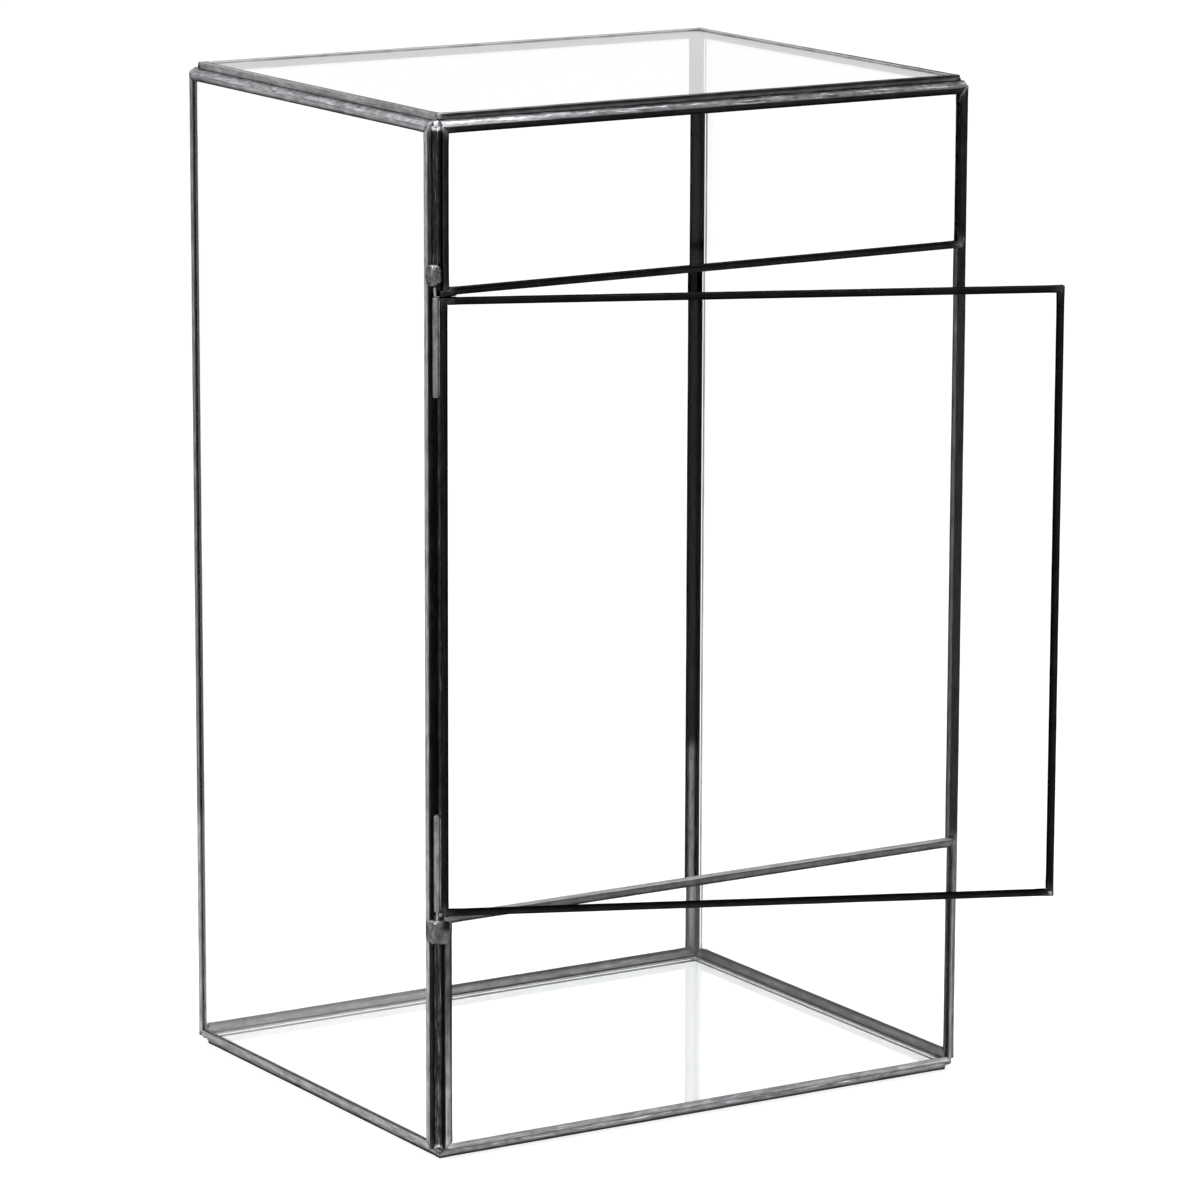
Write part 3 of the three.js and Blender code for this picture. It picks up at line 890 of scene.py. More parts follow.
def add_tube(settings, node, look, seed):
    """A hinge tube with round rims, a little dented."""
    low, high = tube_box(settings, node)
    outer, bore, rim = settings.tube_radius, settings.bore_radius, settings.rim
    mouth = 1.2 * MM
    dent_depth = 0.05 * MM
    rims = []
    for end, sign in ((low.z, 1), (high.z, -1)):
        profile = [(bore, end + sign * mouth), (bore, end + sign * rim * 0.5)]
        for turn in (math.pi / 8 * i for i in range(5)):
            profile.append((outer - rim + rim * math.sin(turn), end + sign * (rim - rim * math.cos(turn))))
        rims.append(profile)
    run = high.z - low.z
    steps = 24
    barrel = [(outer, low.z + run * (0.02 + 0.96 * i / steps)) for i in range(steps + 1)]
    inside = [(bore, high.z - run * (0.05 + 0.9 * i / steps)) for i in range(steps + 1)]
    outline = rims[0] + barrel + list(reversed(rims[1])) + inside
    size = len(outline)
    sides = 40
    points, runs, faces = [], [], []
    for i in range(sides):
        turn = 2 * math.pi * i / sides
        way = Vector((math.cos(turn), math.sin(turn)))
        for radius, z in outline:
            dent = dent_depth * waves(z / (6 * MM), math.cos(turn) + 2 * math.sin(turn), seed)
            spot = HINGE_PLACE.xy + way * (radius + min(dent, 0) if radius > bore else radius)
            points.append(Vector((spot.x, spot.y, z)))
            runs.append(Vector((z / MM, turn * outer / MM, seed)))
        here, there = i * size, (i + 1) % sides * size
        for k in range(size):
            n = (k + 1) % size
            faces.append((here + k, there + k, there + n, here + n))
    name = node + "_barrel"
    layers = {"run": runs}
    return add_piece(name, points, faces, look, DOOR_BODY, tube_end_highlight, (node,), layers)


def add_tube_seam(settings, node, look, side, seed):
    """The fillet of solder along one side of a hinge tube, in the corner with the door's edge."""
    low, high = tube_box(settings, node)
    edge = high.x
    bed = 0.1 * MM
    fillet = 0.55 * MM
    run = high.z - low.z
    count = 40
    sides = 7
    points, runs = [], []
    for ring in range(count + 1):
        distance = run * (0.015 + 0.97 * ring / count)
        swell = 1 + 0.35 * waves(distance / (4.5 * MM), 0.5, seed)
        taper = smooth_step(0, 2.5 * MM, min(distance, run - distance) - 0.4 * MM)
        height = fillet * swell * mix(0.25, 1, taper)
        for i in range(sides):
            turn = i / (sides - 1) * math.pi / 2
            x = edge - height * (1 - math.sin(turn)) * 1.2
            reach = settings.tube_radius * 0.72 + height * (1 - math.cos(turn)) * 0.9
            points.append(Vector((x, HINGE_PLACE.y + side * reach, low.z + distance)))
            runs.append(Vector((distance / MM, i * 0.3, seed)))
        points.append(Vector((edge + bed, HINGE_PLACE.y + side * 0.5 * MM, low.z + distance)))
        runs.append(Vector((distance / MM, 0, seed)))
    faces = band_faces(count + 1, sides + 1)
    name = f"{node}_seam_{'front' if side < 0 else 'back'}"
    return add_piece(name, points, faces, look, DOOR_BODY, groove_wear_and_light, (), {"run": runs})


def add_bead(settings, name, bottom, top, look, seed):
    """A low bead of blackened solder, up the hinge edge of the door from one height to another."""
    edge = shut_box("door_channel_hinge_side")[0].x
    bed = 0.1 * MM
    half_width = 1.85 * MM
    count = round((top - bottom) / (1.6 * MM))
    sides = 12
    points, runs = [], []
    for ring in range(count + 1):
        distance = (top - bottom) * ring / count
        height = settings.bead * (0.96 + 0.1 * waves(distance / (5 * MM), 0.4, seed))
        for i in range(sides + 1):
            turn = math.pi * i / sides
            x = edge - height * math.sin(turn) ** 0.5
            points.append(Vector((x, HINGE_PLACE.y - half_width * math.cos(turn), bottom + distance)))
            runs.append(Vector((distance / MM, i * 0.4, seed)))
        points.append(Vector((edge + bed, HINGE_PLACE.y, bottom + distance)))
        runs.append(Vector((distance / MM, 0, seed)))
    faces = band_faces(count + 1, sides + 2)
    return add_piece(name, points, faces, look, DOOR_BODY, groove_wear_and_light, (), {"run": runs})


def wire_path(settings, node, lump, side):
    """The middle line of a hinge pin, from its end in the tube to its end in the lump."""
    low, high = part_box(node)
    start = Vector((HINGE_PLACE.x, HINGE_PLACE.y, low.z if side > 0 else high.z))
    leave = Vector((start.x, start.y, start.z + side * (settings.wire_reach + settings.wire_radius)))
    kink = leave + Vector((-settings.wire_kink, 0, side * 2 * settings.wire_kink))
    tip = middle((low, high))
    tip.x = mix(kink.x, middle(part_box(lump)).x, 0.5)
    tip.z = high.z if side > 0 else low.z
    enter = Vector((tip.x, tip.y, mix(leave.z, tip.z, 0.6)))
    path = [start, start.lerp(leave, 0.5)]
    steps = 16
    for i in range(steps + 1):
        t = i / steps
        near_tube = leave * (1 - t) ** 3 + kink * 3 * t * (1 - t) ** 2
        path.append(near_tube + enter * 3 * t * t * (1 - t) + tip * t**3)
    return path


def add_wire(settings, node, lump, look, side):
    """The bent wire pin: straight in the tube, kinked where it leaves it, then up or down the
    groove into its lump of solder."""
    path = wire_path(settings, node, lump, side)
    sides = 20
    points, runs = [], []
    for i, spot in enumerate(path):
        before = path[max(i - 1, 0)]
        after = path[min(i + 1, len(path) - 1)]
        forward = (after - before).normalized()
        across = forward.cross(Vector((0, 1, 0))).normalized()
        other = across.cross(forward)
        for k in range(sides):
            turn = 2 * math.pi * k / sides
            way = across * math.cos(turn) + other * math.sin(turn)
            points.append(spot + way * settings.wire_radius)
            runs.append(Vector((spot.z / MM, turn, 1)))
    name = node + "_wire"
    faces = band_faces(len(path), sides)
    layers = {"run": runs}
    return add_piece(name, points, faces, look, CASE_BODY, wire_side_light, (node,), layers)


# Materials


# The metals read these values off a mesh. wear_and_light: how light a face is painted, from its wear together
# with painted light and shade. run: the place along, around and through a piece, in millimetres. tinned: how
# much solder was wiped over it. edge_shade: painted shade at the tips of lips and the toes of runs.
# crest_highlight: painted highlights along two crests of a run.


def add_node(tree, kind, inputs=None, **settings):
    """Adds a node with its settings, and sets or links each input that is given."""
    node = tree.nodes.new(kind)
    for name, value in settings.items():
        setattr(node, name, value)
    for name, value in (inputs or {}).items():
        if isinstance(value, bpy.types.NodeSocket):
            tree.links.new(value, node.inputs[name])
        else:
            node.inputs[name].default_value = value
    return node


def new_material(name):
    """An empty node material and its output node."""
    material = bpy.data.materials.new(name)
    material.use_nodes = True
    material.node_tree.nodes.clear()
    return material, material.node_tree, material.node_tree.nodes.new("ShaderNodeOutputMaterial")


def ramp(tree, factor, stops):
    """A colour ramp through (place, colour) stops."""
    node = add_node(tree, "ShaderNodeValToRGB", {"Fac": factor})
    elements = node.color_ramp.elements
    while len(elements) < len(stops):
        elements.new(0.5)
    for element, (place, tone) in zip(elements, stops):
        element.position = place
        element.color = tone
    return node.outputs["Color"]


def combine(tree, operation, *values, clamp=False):
    """The result of one sum on two or three values."""
    node = add_node(tree, "ShaderNodeMath", operation=operation, use_clamp=clamp)
    for socket, value in zip(node.inputs, values):
        if isinstance(value, bpy.types.NodeSocket):
            tree.links.new(value, socket)
        else:
            socket.default_value = value
    return node.outputs[0]


def attribute(tree, name, output="Fac"):
    return add_node(tree, "ShaderNodeAttribute", attribute_name=name).outputs[output]


def pattern(tree, coordinates, stretch, detail):
    """Noise whose grain has the given size along, around and through a piece, in the unit of its
    coordinates: millimetres for run, and metres for a place in the object."""
    scaled = add_node(
        tree,
        "ShaderNodeMapping",
        {"Vector": coordinates, "Scale": tuple(1 / size for size in stretch)},
    )
    return add_node(
        tree,
        "ShaderNodeTexNoise",
        {"Vector": scaled.outputs[0], "Scale": 1.0, "Detail": detail, "Roughness": 0.55},
    ).outputs["Fac"]


def about_middle(tree, noise_value, strength):
    """Noise turned into a swing about zero."""
    return combine(tree, "MULTIPLY_ADD", noise_value, 2 * strength, -strength)


def blend(tree, output, factor, first, second):
    """Shows the first shader where the factor is 0, and the second where it is 1."""
    mixed = add_node(tree, "ShaderNodeMixShader", {"Fac": factor})
    tree.links.new(first.outputs[0], mixed.inputs[1])
    tree.links.new(second.outputs[0], mixed.inputs[2])
    tree.links.new(mixed.outputs[0], output.inputs["Surface"])


def metal_shader(tree, output, tone, dark, bare, rough, bump_height, bump_depth):
    """Bare or blackened metal: tone is how light the eye sees it, from the dark colour to the bare
    one, and bump_depth is in millimetres."""
    light = combine(tree, "POWER", combine(tree, "MAXIMUM", tone, 0.0), 2.2, clamp=True)
    bump = add_node(
        tree, "ShaderNodeBump", {"Height": bump_height, "Strength": 0.3, "Distance": bump_depth * MM}
    )
    shader = add_node(
        tree,
        "ShaderNodeBsdfPrincipled",
        {
            "Base Color": ramp(tree, light, ((0.0, dark), (1.0, bare))),
            "Metallic": 1.0,
            "Roughness": rough,
            "Specular Tint": (0.25, 0.25, 0.25, 1),
            "Normal": bump.outputs[0],
        },
    )
    tree.links.new(shader.outputs[0], output.inputs["Surface"])


def blackened_channel(finish):
    """Folded tin-lead coated brass strip, blackened with copper sulphate patina: near black with
    long grey streaks where the drawing lines are rubbed through, lighter at the tinned mitres."""
    material, tree, output = new_material("blackened_channel")
    run = attribute(tree, "run", "Vector")
    streaks = pattern(tree, run, (26, 0.42, 4), 4.0)
    blotches = pattern(tree, run, (6, 2.2, 4), 4.0)
    grit = pattern(tree, run, (0.5, 0.35, 1), 2.0)
    # The tone follows the painted light and shade that the mesh carries, and is darkened by the painted shade
    # near the tips of the lips
    wear_and_light = attribute(tree, "wear_and_light")
    uneven = combine(tree, "ADD", about_middle(tree, streaks, 0.5), about_middle(tree, blotches, 0.45))
    tone = combine(tree, "MULTIPLY_ADD", uneven, combine(tree, "MULTIPLY_ADD", wear_and_light, 0.75, 0.1), wear_and_light)
    undarkened = combine(tree, "MULTIPLY_ADD", attribute(tree, "edge_shade"), -0.6, 1.0)
    tone = combine(tree, "MULTIPLY", tone, undarkened)
    wipe = combine(tree, "MULTIPLY", attribute(tree, "tinned"), blotches)
    tone = combine(tree, "MULTIPLY_ADD", wipe, 0.22, tone)
    rough = combine(tree, "MULTIPLY_ADD", grit, 0.25, 0.28)
    relief = combine(tree, "MULTIPLY_ADD", streaks, 1.2, grit)
    metal_shader(tree, output, tone, tuple(finish.patina), tuple(finish.worn), rough, relief, 0.05)
    return material


def patinated_solder(finish, name, streak_strength):
    """Tin-lead solder under black patina: dull pools with black hollows, thin bright lines where its face is
    painted light, and short painted highlights on its crests."""
    material, tree, output = new_material(name)
    run = attribute(tree, "run", "Vector")
    pools = pattern(tree, run, (3.2, 1.4, 2), 3.0)
    stains = pattern(tree, run, (9, 3, 5), 2.0)
    lines = pattern(tree, run, (12, 0.5, 3), 3.0)
    grit = pattern(tree, run, (0.45, 0.4, 0.6), 2.0)
    wear_and_light = attribute(tree, "wear_and_light")
    uneven = combine(tree, "ADD", about_middle(tree, pools, 0.55), about_middle(tree, stains, 0.45))
    tone = combine(tree, "MULTIPLY_ADD", uneven, combine(tree, "MULTIPLY_ADD", wear_and_light, 0.8, 0.05), wear_and_light)
    streak = combine(tree, "MULTIPLY_ADD", lines, 8.0, -4.7, clamp=True)
    streak = combine(tree, "MULTIPLY", streak, wear_and_light)
    tone = combine(tree, "MULTIPLY_ADD", streak, streak_strength, tone)
    crest_highlight = combine(tree, "MULTIPLY_ADD", stains, 5.0, -2.2, clamp=True)
    crest_highlight = combine(tree, "MULTIPLY", crest_highlight, attribute(tree, "crest_highlight"))
    tone = combine(tree, "MULTIPLY_ADD", crest_highlight, 0.36, tone)
    undarkened = combine(tree, "MULTIPLY_ADD", attribute(tree, "edge_shade"), -0.75, 1.0)
    tone = combine(tree, "MULTIPLY", tone, undarkened)
    rough = combine(tree, "MULTIPLY_ADD", grit, 0.2, 0.24)
    relief = combine(tree, "ADD", grit, pools)
    dark, bare = tuple(finish.solder_dark), tuple(finish.solder_bare)
    metal_shader(tree, output, tone, dark, bare, rough, relief, 0.08)
    return material


def drawn_metal(name, light, dark):
    """Drawn and tinned tube or wire: mid grey, satin, with fine lines along its length."""
    material, tree, output = new_material(name)
    run = attribute(tree, "run", "Vector")
    lines = pattern(tree, run, (18, 0.35, 2), 3.0)
    stains = pattern(tree, run, (5, 2.5, 2), 3.0)
    tone = combine(tree, "ADD", about_middle(tree, lines, 0.8), about_middle(tree, stains, 1.0))
    # The tone is scaled by the painted light that the mesh carries: a highlight on the tube's ends, lit and
    # shaded sides on the wire
    tone = combine(tree, "MULTIPLY", combine(tree, "ADD", tone, 0.85), attribute(tree, "wear_and_light"))
    rough = combine(tree, "MULTIPLY_ADD", stains, 0.25, 0.22)
    metal_shader(tree, output, tone, dark, light, rough, lines, 0.04)
    return material


def float_glass(finish):
    """Clear float glass, 3 mm, with the faint roll of drawn sheet and a trace of dust. Its specular
    tint keeps the face-on reflections weak, apart from those of the pale floor low on the case."""
    material, tree, output = new_material("float_glass")
    place = add_node(tree, "ShaderNodeTexCoord").outputs["Object"]
    roll = pattern(tree, place, (0.09, 0.09, 0.05), 1.0)
    smudge = pattern(tree, place, (0.05, 0.05, 0.05), 3.0)
    tint = ramp(tree, smudge, ((0.35, tuple(finish.glass)), (0.75, linear("ffffff"))))
    height = add_node(tree, "ShaderNodeSeparateXYZ", {"Vector": place}).outputs["Z"]
    half_at_pane_top = combine(tree, "DIVIDE", height, 2 * PANE_TOP)
    strong, faint = (0.6, 0.6, 0.6, 1), (0.1, 0.1, 0.1, 1)
    gleam = ramp(tree, half_at_pane_top, ((0.485, strong), (0.515, faint)))
    bump = add_node(tree, "ShaderNodeBump", {"Height": roll, "Strength": 0.05, "Distance": 0.2 * MM})
    shader = add_node(
        tree,
        "ShaderNodeBsdfPrincipled",
        {
            "Base Color": tint,
            "Metallic": 0.0,
            "Roughness": 0.0,
            "IOR": 1.52,
            "Specular Tint": gleam,
            "Transmission Weight": 1.0,
            "Normal": bump.outputs[0],
        },
    )
    clear = add_node(tree, "ShaderNodeBsdfTransparent", {"Color": linear("fbfcfc")})
    ray = add_node(tree, "ShaderNodeLightPath")
    blend(tree, output, ray.outputs["Is Shadow Ray"], shader, clear)
    return material


def seen_ray(tree):
    """1 for what the camera sees, straight or by way of glass and metal."""
    ray = add_node(tree, "ShaderNodeLightPath").outputs
    indirect = combine(tree, "MAXIMUM", ray["Is Glossy Ray"], ray["Is Transmission Ray"])
    return combine(tree, "MAXIMUM", ray["Is Camera Ray"], indirect)


def studio_floor(finish):
    """Matt white card: it shows as white, and keeps a part of the shadow that falls on it."""
    material, tree, output = new_material("white_card")
    place = add_node(tree, "ShaderNodeTexCoord").outputs["Object"]
    grain = pattern(tree, place, (0.004, 0.004, 0.004), 2.0)
    tone = ramp(tree, grain, ((0.3, tuple(finish.floor)), (0.7, linear("ffffff"))))
    card = add_node(tree, "ShaderNodeBsdfDiffuse", {"Color": tone})
    shaded = add_node(tree, "ShaderNodeBsdfDiffuse", {"Color": (0.3, 0.3, 0.3, 1)})
    glow = add_node(tree, "ShaderNodeEmission", {"Color": (1, 1, 1, 1), "Strength": 0.82})
    seen = add_node(tree, "ShaderNodeAddShader")
    tree.links.new(shaded.outputs[0], seen.inputs[0])
    tree.links.new(glow.outputs[0], seen.inputs[1])
    blend(tree, output, seen_ray(tree), card, seen)
    return material


def look(name, make, *values):
    """The material with this name, made the first time that it is asked for."""
    return bpy.data.materials.get(name) or make(*values)


def groove_solder(context):
    """The solder of the grooves, with bright lines along the runs."""
    finish = context.scene.terrarium_finish
    return look("patinated_solder", patinated_solder, finish, "patinated_solder", 1.5)


def lump_solder(context):
    """The solder of the lumps and of the wiped corners, which has almost no lines."""
    finish = context.scene.terrarium_finish
    return look("lump_solder", patinated_solder, finish, "lump_solder", 0.2)


# Studio


# Where the soft lamps stand and how wide they are, in metres
KEY_LAMP = (Vector((-1.5, -0.5, 1.3)), 0.9)
TOP_LAMP = (Vector((0.1, -0.1, 1.9)), 1.0)


def add_camera(scene, studio):
    """The camera, placed and turned to see the case as the photograph shows it."""
    data = bpy.data.cameras.new("camera")
    data.sensor_width = 36
    data.lens = studio.focal_length
    data.clip_end = 50
    camera = bpy.data.objects.new("camera", data)
    scene.collection.objects.link(camera)
    level = Vector((math.cos(studio.heading), -math.sin(studio.heading), 0))
    ahead = math.cos(studio.dip)
    forward = Vector(
        (math.sin(studio.heading) * ahead, math.cos(studio.heading) * ahead, -math.sin(studio.dip))
    )
    upright = level.cross(forward)
    right = level * math.cos(studio.roll) + upright * math.sin(studio.roll)
    up = upright * math.cos(studio.roll) - level * math.sin(studio.roll)
    turn = Matrix((right, up, -forward)).transposed().to_4x4()
    camera.matrix_world = Matrix.Translation(studio.place) @ turn
    scene.camera = camera


def add_surroundings(scene, studio):
    """White surroundings, which the metal mirrors at full strength while they light a little less."""
    world = bpy.data.worlds.new("studio")
    world.use_nodes = True
    tree = world.node_tree
    tree.nodes.clear()
    strength = combine(tree, "MAXIMUM", seen_ray(tree), studio.sky)
    glow = add_node(tree, "ShaderNodeBackground", {"Color": (1, 1, 1, 1), "Strength": strength})
    output = add_node(tree, "ShaderNodeOutputWorld")
    tree.links.new(glow.outputs[0], output.inputs["Surface"])
    scene.world = world


def add_lamp(scene, name, place, size, power):
    """A soft square lamp that points at the case."""
    lamp = bpy.data.lights.new(name, "AREA")
    lamp.shape = "SQUARE"
    lamp.size = size
    lamp.energy = power
    holder = bpy.data.objects.new(name, lamp)
    holder.location = place
    holder.rotation_euler = (CASE_MIDDLE - place).to_track_quat("-Z", "Y").to_euler()
    scene.collection.objects.link(holder)


def add_floor(scene, size):
    """The floor of the studio, which isn't part of the object."""
    half = size / 2
    corners = [(-half, -half, 0), (half, -half, 0), (half, half, 0), (-half, half, 0)]
    mesh = bpy.data.meshes.new("floor")
    mesh.from_pydata(corners, [], [(0, 1, 2, 3)])
    mesh.materials.append(studio_floor(scene.terrarium_finish))
    floor = bpy.data.objects.new("floor", mesh)
    scene.collection.objects.link(floor)


# Operators


class TERRARIUM_OT_stage(bpy.types.Operator):
    """Set up the camera, lamps, white surroundings and floor"""

    bl_idname = "terrarium.stage"
    bl_label = "Stage"

    def execute(self, context):
        scene = context.scene
        studio = scene.terrarium_studio
        scene.view_settings.view_transform = "Standard"
        add_camera(scene, studio)
        add_surroundings(scene, studio)
        add_lamp(scene, "key_lamp", *KEY_LAMP, studio.key)
        add_lamp(scene, "top_lamp", *TOP_LAMP, studio.top)
        add_floor(scene, studio.floor_size)
        return {"FINISHED"}


class TERRARIUM_OT_glass(bpy.types.Operator):
    """Give the eight panes their glass"""

    bl_idname = "terrarium.glass"
    bl_label = "Glass"

    def execute(self, context):
        glass = look("float_glass", float_glass, context.scene.terrarium_finish)
        for pane in PANES:
            mesh = frame["nodes"][f"{pane}_glass"].data
            mesh.materials.clear()
            mesh.materials.append(glass)
        return {"FINISHED"}


class TERRARIUM_OT_channels(bpy.types.Operator):
    """Fold the blackened channel round the four edges of each pane"""

    bl_idname = "terrarium.channels"
    bl_label = "Channels"

    def execute(self, context):
        metal = look("blackened_channel", blackened_channel, context.scene.terrarium_finish)
        settings = context.scene.terrarium_channel
        edges = [(pane, side) for pane, sides in PANES.items() for side in sides]
        for seed, (pane, side) in enumerate(edges, context.scene.terrarium_studio.seed + 1):
            add_channel(settings, f"{pane}_channel_{side}", f"{pane}_glass", metal, seed)
        return {"FINISHED"}


class TERRARIUM_OT_solder_runs(bpy.types.Operator):
    """Run solder along the upright and level grooves of the case"""

    bl_idname = "terrarium.solder_runs"
    bl_label = "Solder runs"

    def execute(self, context):
        solder = groove_solder(context)
        names = [f"solder_{run}" for run in UPRIGHT_RUNS]
        names += [f"solder_{level}_{side}" for level in ("top", "base") for side in LEVEL_SIDES]
        for seed, name in enumerate(names, context.scene.terrarium_studio.seed):
            add_solder_run(context.scene.terrarium_solder, name, solder, seed)
        return {"FINISHED"}


class TERRARIUM_OT_corner_solder(bpy.types.Operator):
    """Fill the eight corners where three grooves meet"""

    bl_idname = "terrarium.corner_solder"
    bl_label = "Corner solder"

    def execute(self, context):
        solder = groove_solder(context)
        settings = context.scene.terrarium_solder
        corners = product(("base", "top"), ("left", "right"), ("front", "back"))
        for seed, (level, side_x, side_y) in enumerate(corners, context.scene.terrarium_studio.seed + 1):
            outward = Vector(-1 if side in LOW_SIDES else 1 for side in (side_x, side_y, level))
            add_lump(
                f"corner_solder_{level}_{side_x}_{side_y}",
                case_corner(level, side_x, side_y) + outward * settings.corner_reach,
                [settings.corner_radius] * 3,
                solder,
                seed,
                corner_wear_and_light,
                relief=0.15,
                box=(CASE_LOW, CASE_HIGH),
            )
        return {"FINISHED"}


class TERRARIUM_OT_hinge_corner_solder(bpy.types.Operator):
    """Fill the corner of the upper front pane beside the upper hinge wire"""

    bl_idname = "terrarium.hinge_corner_solder"
    bl_label = "Hinge corner solder"

    def execute(self, context):
        low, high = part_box("upper_front_channel_bottom")
        overhang = 1.35 * MM
        ease = 0.1 * MM
        left = low.x - overhang
        lowest = low.z - context.scene.terrarium_solder.droop
        centre = Vector((left + 3.7 * MM, middle((low, high)).y, low.z + 0.7 * MM))
        radii = (4.0 * MM, 2.35 * MM, 1.5 * MM)
        add_lump(
            "hinge_corner_solder",
            centre,
            radii,
            groove_solder(context),
            51,
            groove_wear_and_light,
            squareness=0.5,
            relief=0.06,
            box=(Vector((left, low.y - ease, lowest)), high + Vector((0, ease, 0))),
        )
        return {"FINISHED"}


class TERRARIUM_OT_door_solder(bpy.types.Operator):
    """Wipe solder over the corners of the door's frame"""

    bl_idname = "terrarium.door_solder"
    bl_label = "Door solder"

    def execute(self, context):
        settings = context.scene.terrarium_solder
        strips = context.scene.terrarium_channel
        skin = settings.skin
        top = strip_box(strips, "door_channel_top")
        bottom = strip_box(strips, "door_channel_bottom")
        half_thickness = (top[1].y - top[0].y) / 2
        half_lip = (top[1].z - top[0].z) / 2
        levels = (("top", top, top[1].z - half_lip), ("bottom", bottom, bottom[0].z + half_lip))
        for seed, side in ((31, "hinge"), (32, "free")):
            inward = 1 if side == "hinge" else -1
            for level, box, z in levels:
                over_tube = (side, level) == ("hinge", "top")
                wide = settings.hinge_wipe if over_tube else settings.wipe
                rise = settings.hinge_swell if over_tube else 0
                # The solder ends flush with the door's end, and nothing limits it inwards
                end = box[0].x if inward > 0 else box[1].x
                left = end if inward > 0 else cad_box[0].x
                right = end if inward < 0 else cad_box[1].x * 2
                lowest = Vector((left, box[0].y - skin, bottom[0].z))
                highest = Vector((right, box[1].y + skin, top[1].z + rise))
                add_lump(
                    f"door_solder_{level}_{side}",
                    Vector((end + inward * wide * 0.8, middle(box).y, z + rise)),
                    (wide, half_thickness + skin, half_lip),
                    lump_solder(context),
                    seed,
                    door_solder_wear_and_light,
                    squareness=0.6,
                    relief=0.1,
                    box=(lowest, highest),
                    body=DOOR_BODY,
                )
        return {"FINISHED"}


class TERRARIUM_OT_front_solder(bpy.types.Operator):
    """Lay the solder that joins the ends of the two front panes to the right wall"""

    bl_idname = "terrarium.front_solder"
    bl_label = "Front solder"

    def execute(self, context):
        size = context.scene.terrarium_solder.front_size
        root = case_corner("base", "right", "front")
        x = root.x + 0.6 * MM
        y = root.y - 0.4 * MM
        upper_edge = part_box("upper_front_channel_bottom")[0].z
        for seed, name, z in ((41, "upper", upper_edge + size), (42, "lower", PANE_TOP - size)):
            add_lump(
                f"front_solder_{name}",
                Vector((x, y, z)),
                (size, size / 2, size),
                lump_solder(context),
                seed,
                corner_wear_and_light,
                squareness=0.7,
                relief=0.15,
                box=(CASE_LOW, CASE_HIGH),
            )
        return {"FINISHED"}


class TERRARIUM_OT_hinge_tubes(bpy.types.Operator):
    """Make the two hinge tubes and the solder that holds them to the door"""

    bl_idname = "terrarium.hinge_tubes"
    bl_label = "Hinge tubes"

    def execute(self, context):
        hinge = context.scene.terrarium_hinge
        finish = context.scene.terrarium_finish
        metal = look("tinned_tube", drawn_metal, "tinned_tube", tuple(finish.tube), tuple(finish.tube_dark))
        solder = groove_solder(context)
        for seed, name in enumerate(HINGE_LEVELS):
            node = f"hinge_tube_{name}"
            add_tube(hinge, node, metal, seed)
            for side in (-1, 1):
                add_tube_seam(hinge, node, solder, side, seed * 2 + side + 9)
        lower_tube = tube_box(hinge, "hinge_tube_lower")
        upper_tube = tube_box(hinge, "hinge_tube_upper")
        gap = 0.2 * MM
        add_bead(hinge, "door_hinge_edge_bead", lower_tube[1].z + gap, upper_tube[0].z - gap, solder, 17)
        door_bottom = strip_box(context.scene.terrarium_channel, "door_channel_bottom")[0].z
        add_bead(hinge, "door_hinge_edge_stub", door_bottom + gap / 2, lower_tube[0].z - gap / 4, solder, 18)
        return {"FINISHED"}


class TERRARIUM_OT_hinge_wires(bpy.types.Operator):
    """Bend the two wire pins that the hinge tubes turn on"""

    bl_idname = "terrarium.hinge_wires"
    bl_label = "Hinge wires"

    def execute(self, context):
        hinge = context.scene.terrarium_hinge
        finish = context.scene.terrarium_finish
        metal = look("steel_wire", drawn_metal, "steel_wire", tuple(finish.wire), tuple(finish.patina))
        for name, side in HINGE_LEVELS.items():
            add_wire(hinge, f"hinge_pin_{name}", f"hinge_solder_{name}", metal, side)
        return {"FINISHED"}


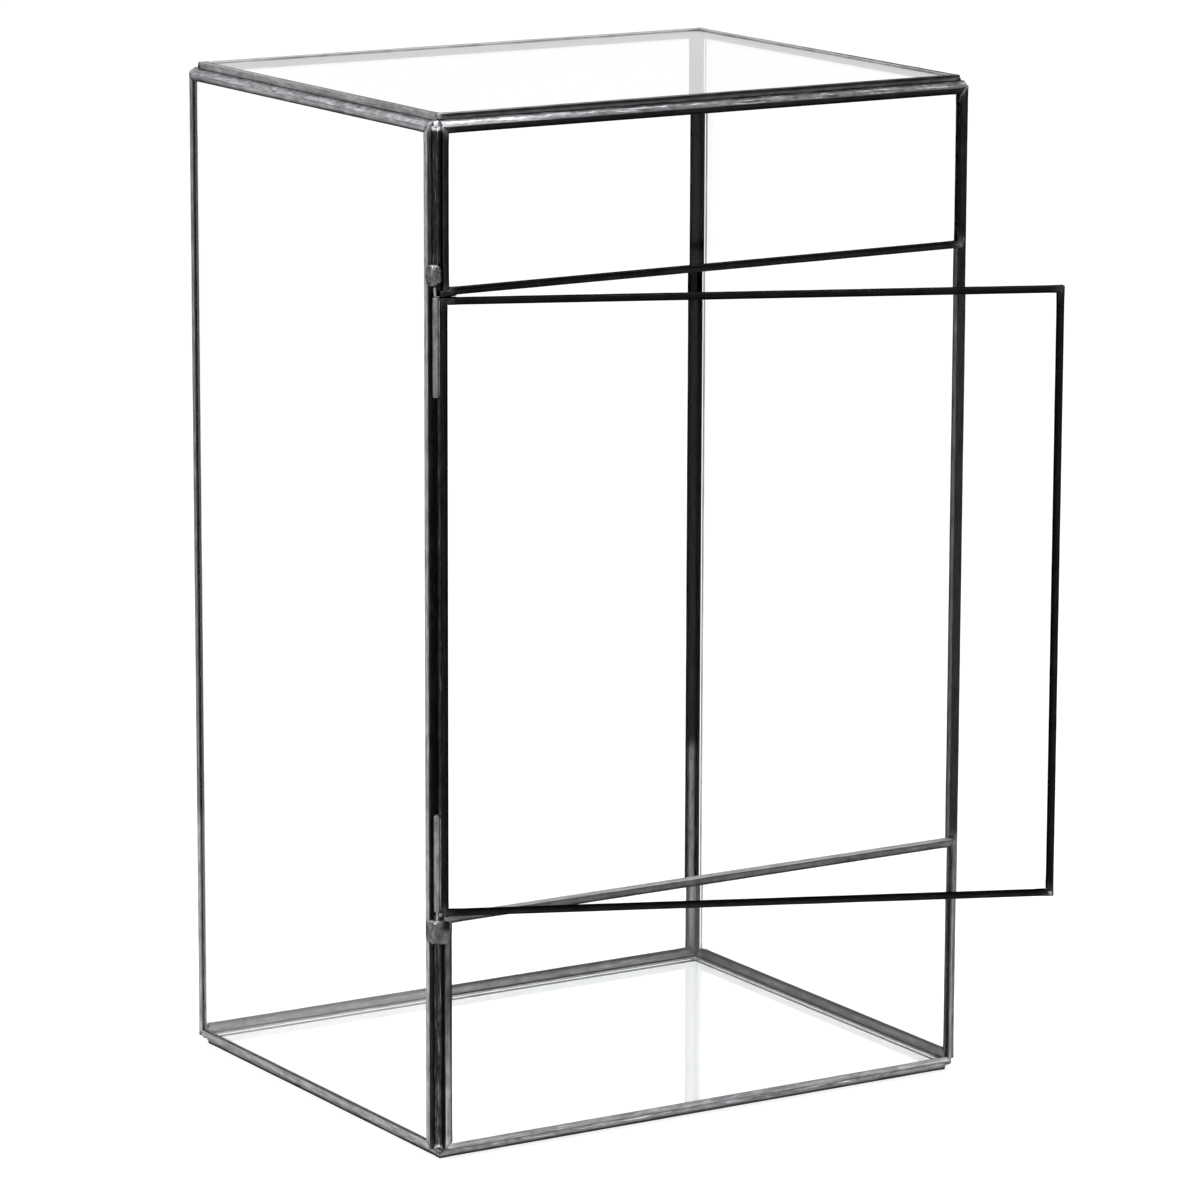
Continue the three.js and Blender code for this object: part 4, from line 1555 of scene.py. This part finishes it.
class TERRARIUM_OT_hinge_solder(bpy.types.Operator):
    """Lay the two lumps of solder that hold the hinge wires in the groove"""

    bl_idname = "terrarium.hinge_solder"
    bl_label = "Hinge solder"

    def execute(self, context):
        proud = 0.15 * MM
        for seed, name, squareness in ((21, "upper", 0.75), (22, "lower", 0.5)):
            node = f"hinge_solder_{name}"
            low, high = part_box(node)
            centre, radii = middle((low, high)), (high - low) / 2
            if name == "lower":
                low.x = max(low.x, CASE_LOW.x - proud)
                low.y = max(low.y, CASE_LOW.y - proud)
            add_lump(
                node + "_lump",
                centre,
                radii,
                lump_solder(context),
                seed,
                lump_wear_and_light,
                squareness=squareness,
                relief=0.07,
                stands_for=(node,),
                detail=6,
                box=(low, high),
            )
        return {"FINISHED"}


class TERRARIUM_PT_pieces(bpy.types.Panel):
    """Lists the pieces of the terrarium in the sidebar"""

    bl_label = "Terrarium"
    bl_idname = "TERRARIUM_PT_pieces"
    bl_space_type = "VIEW_3D"
    bl_region_type = "UI"
    bl_category = "Terrarium"

    def draw(self, context):
        for operator in OPERATORS:
            self.layout.operator(operator.bl_idname)
        for name, group in SETTINGS.items():
            box = self.layout.box()
            for setting in group.__annotations__:
                box.prop(getattr(context.scene, name), setting)


OPERATORS = (
    TERRARIUM_OT_stage,
    TERRARIUM_OT_glass,
    TERRARIUM_OT_channels,
    TERRARIUM_OT_solder_runs,
    TERRARIUM_OT_corner_solder,
    TERRARIUM_OT_front_solder,
    TERRARIUM_OT_hinge_corner_solder,
    TERRARIUM_OT_door_solder,
    TERRARIUM_OT_hinge_tubes,
    TERRARIUM_OT_hinge_wires,
    TERRARIUM_OT_hinge_solder,
)


def register():
    for group in (*SETTINGS.values(), *OPERATORS, TERRARIUM_PT_pieces):
        bpy.utils.register_class(group)
    for name, group in SETTINGS.items():
        setattr(bpy.types.Scene, name, PointerProperty(type=group))


def unregister():
    for name in SETTINGS:
        delattr(bpy.types.Scene, name)
    for group in reversed((*SETTINGS.values(), *OPERATORS, TERRARIUM_PT_pieces)):
        bpy.utils.unregister_class(group)


def main():
    register()
    bpy.ops.terrarium.stage()
    bpy.ops.terrarium.glass()
    bpy.ops.terrarium.channels()
    bpy.ops.terrarium.solder_runs()
    bpy.ops.terrarium.corner_solder()
    bpy.ops.terrarium.front_solder()
    bpy.ops.terrarium.hinge_corner_solder()
    bpy.ops.terrarium.door_solder()
    bpy.ops.terrarium.hinge_tubes()
    bpy.ops.terrarium.hinge_wires()
    bpy.ops.terrarium.hinge_solder()


if __name__ == "__main__":
    main()
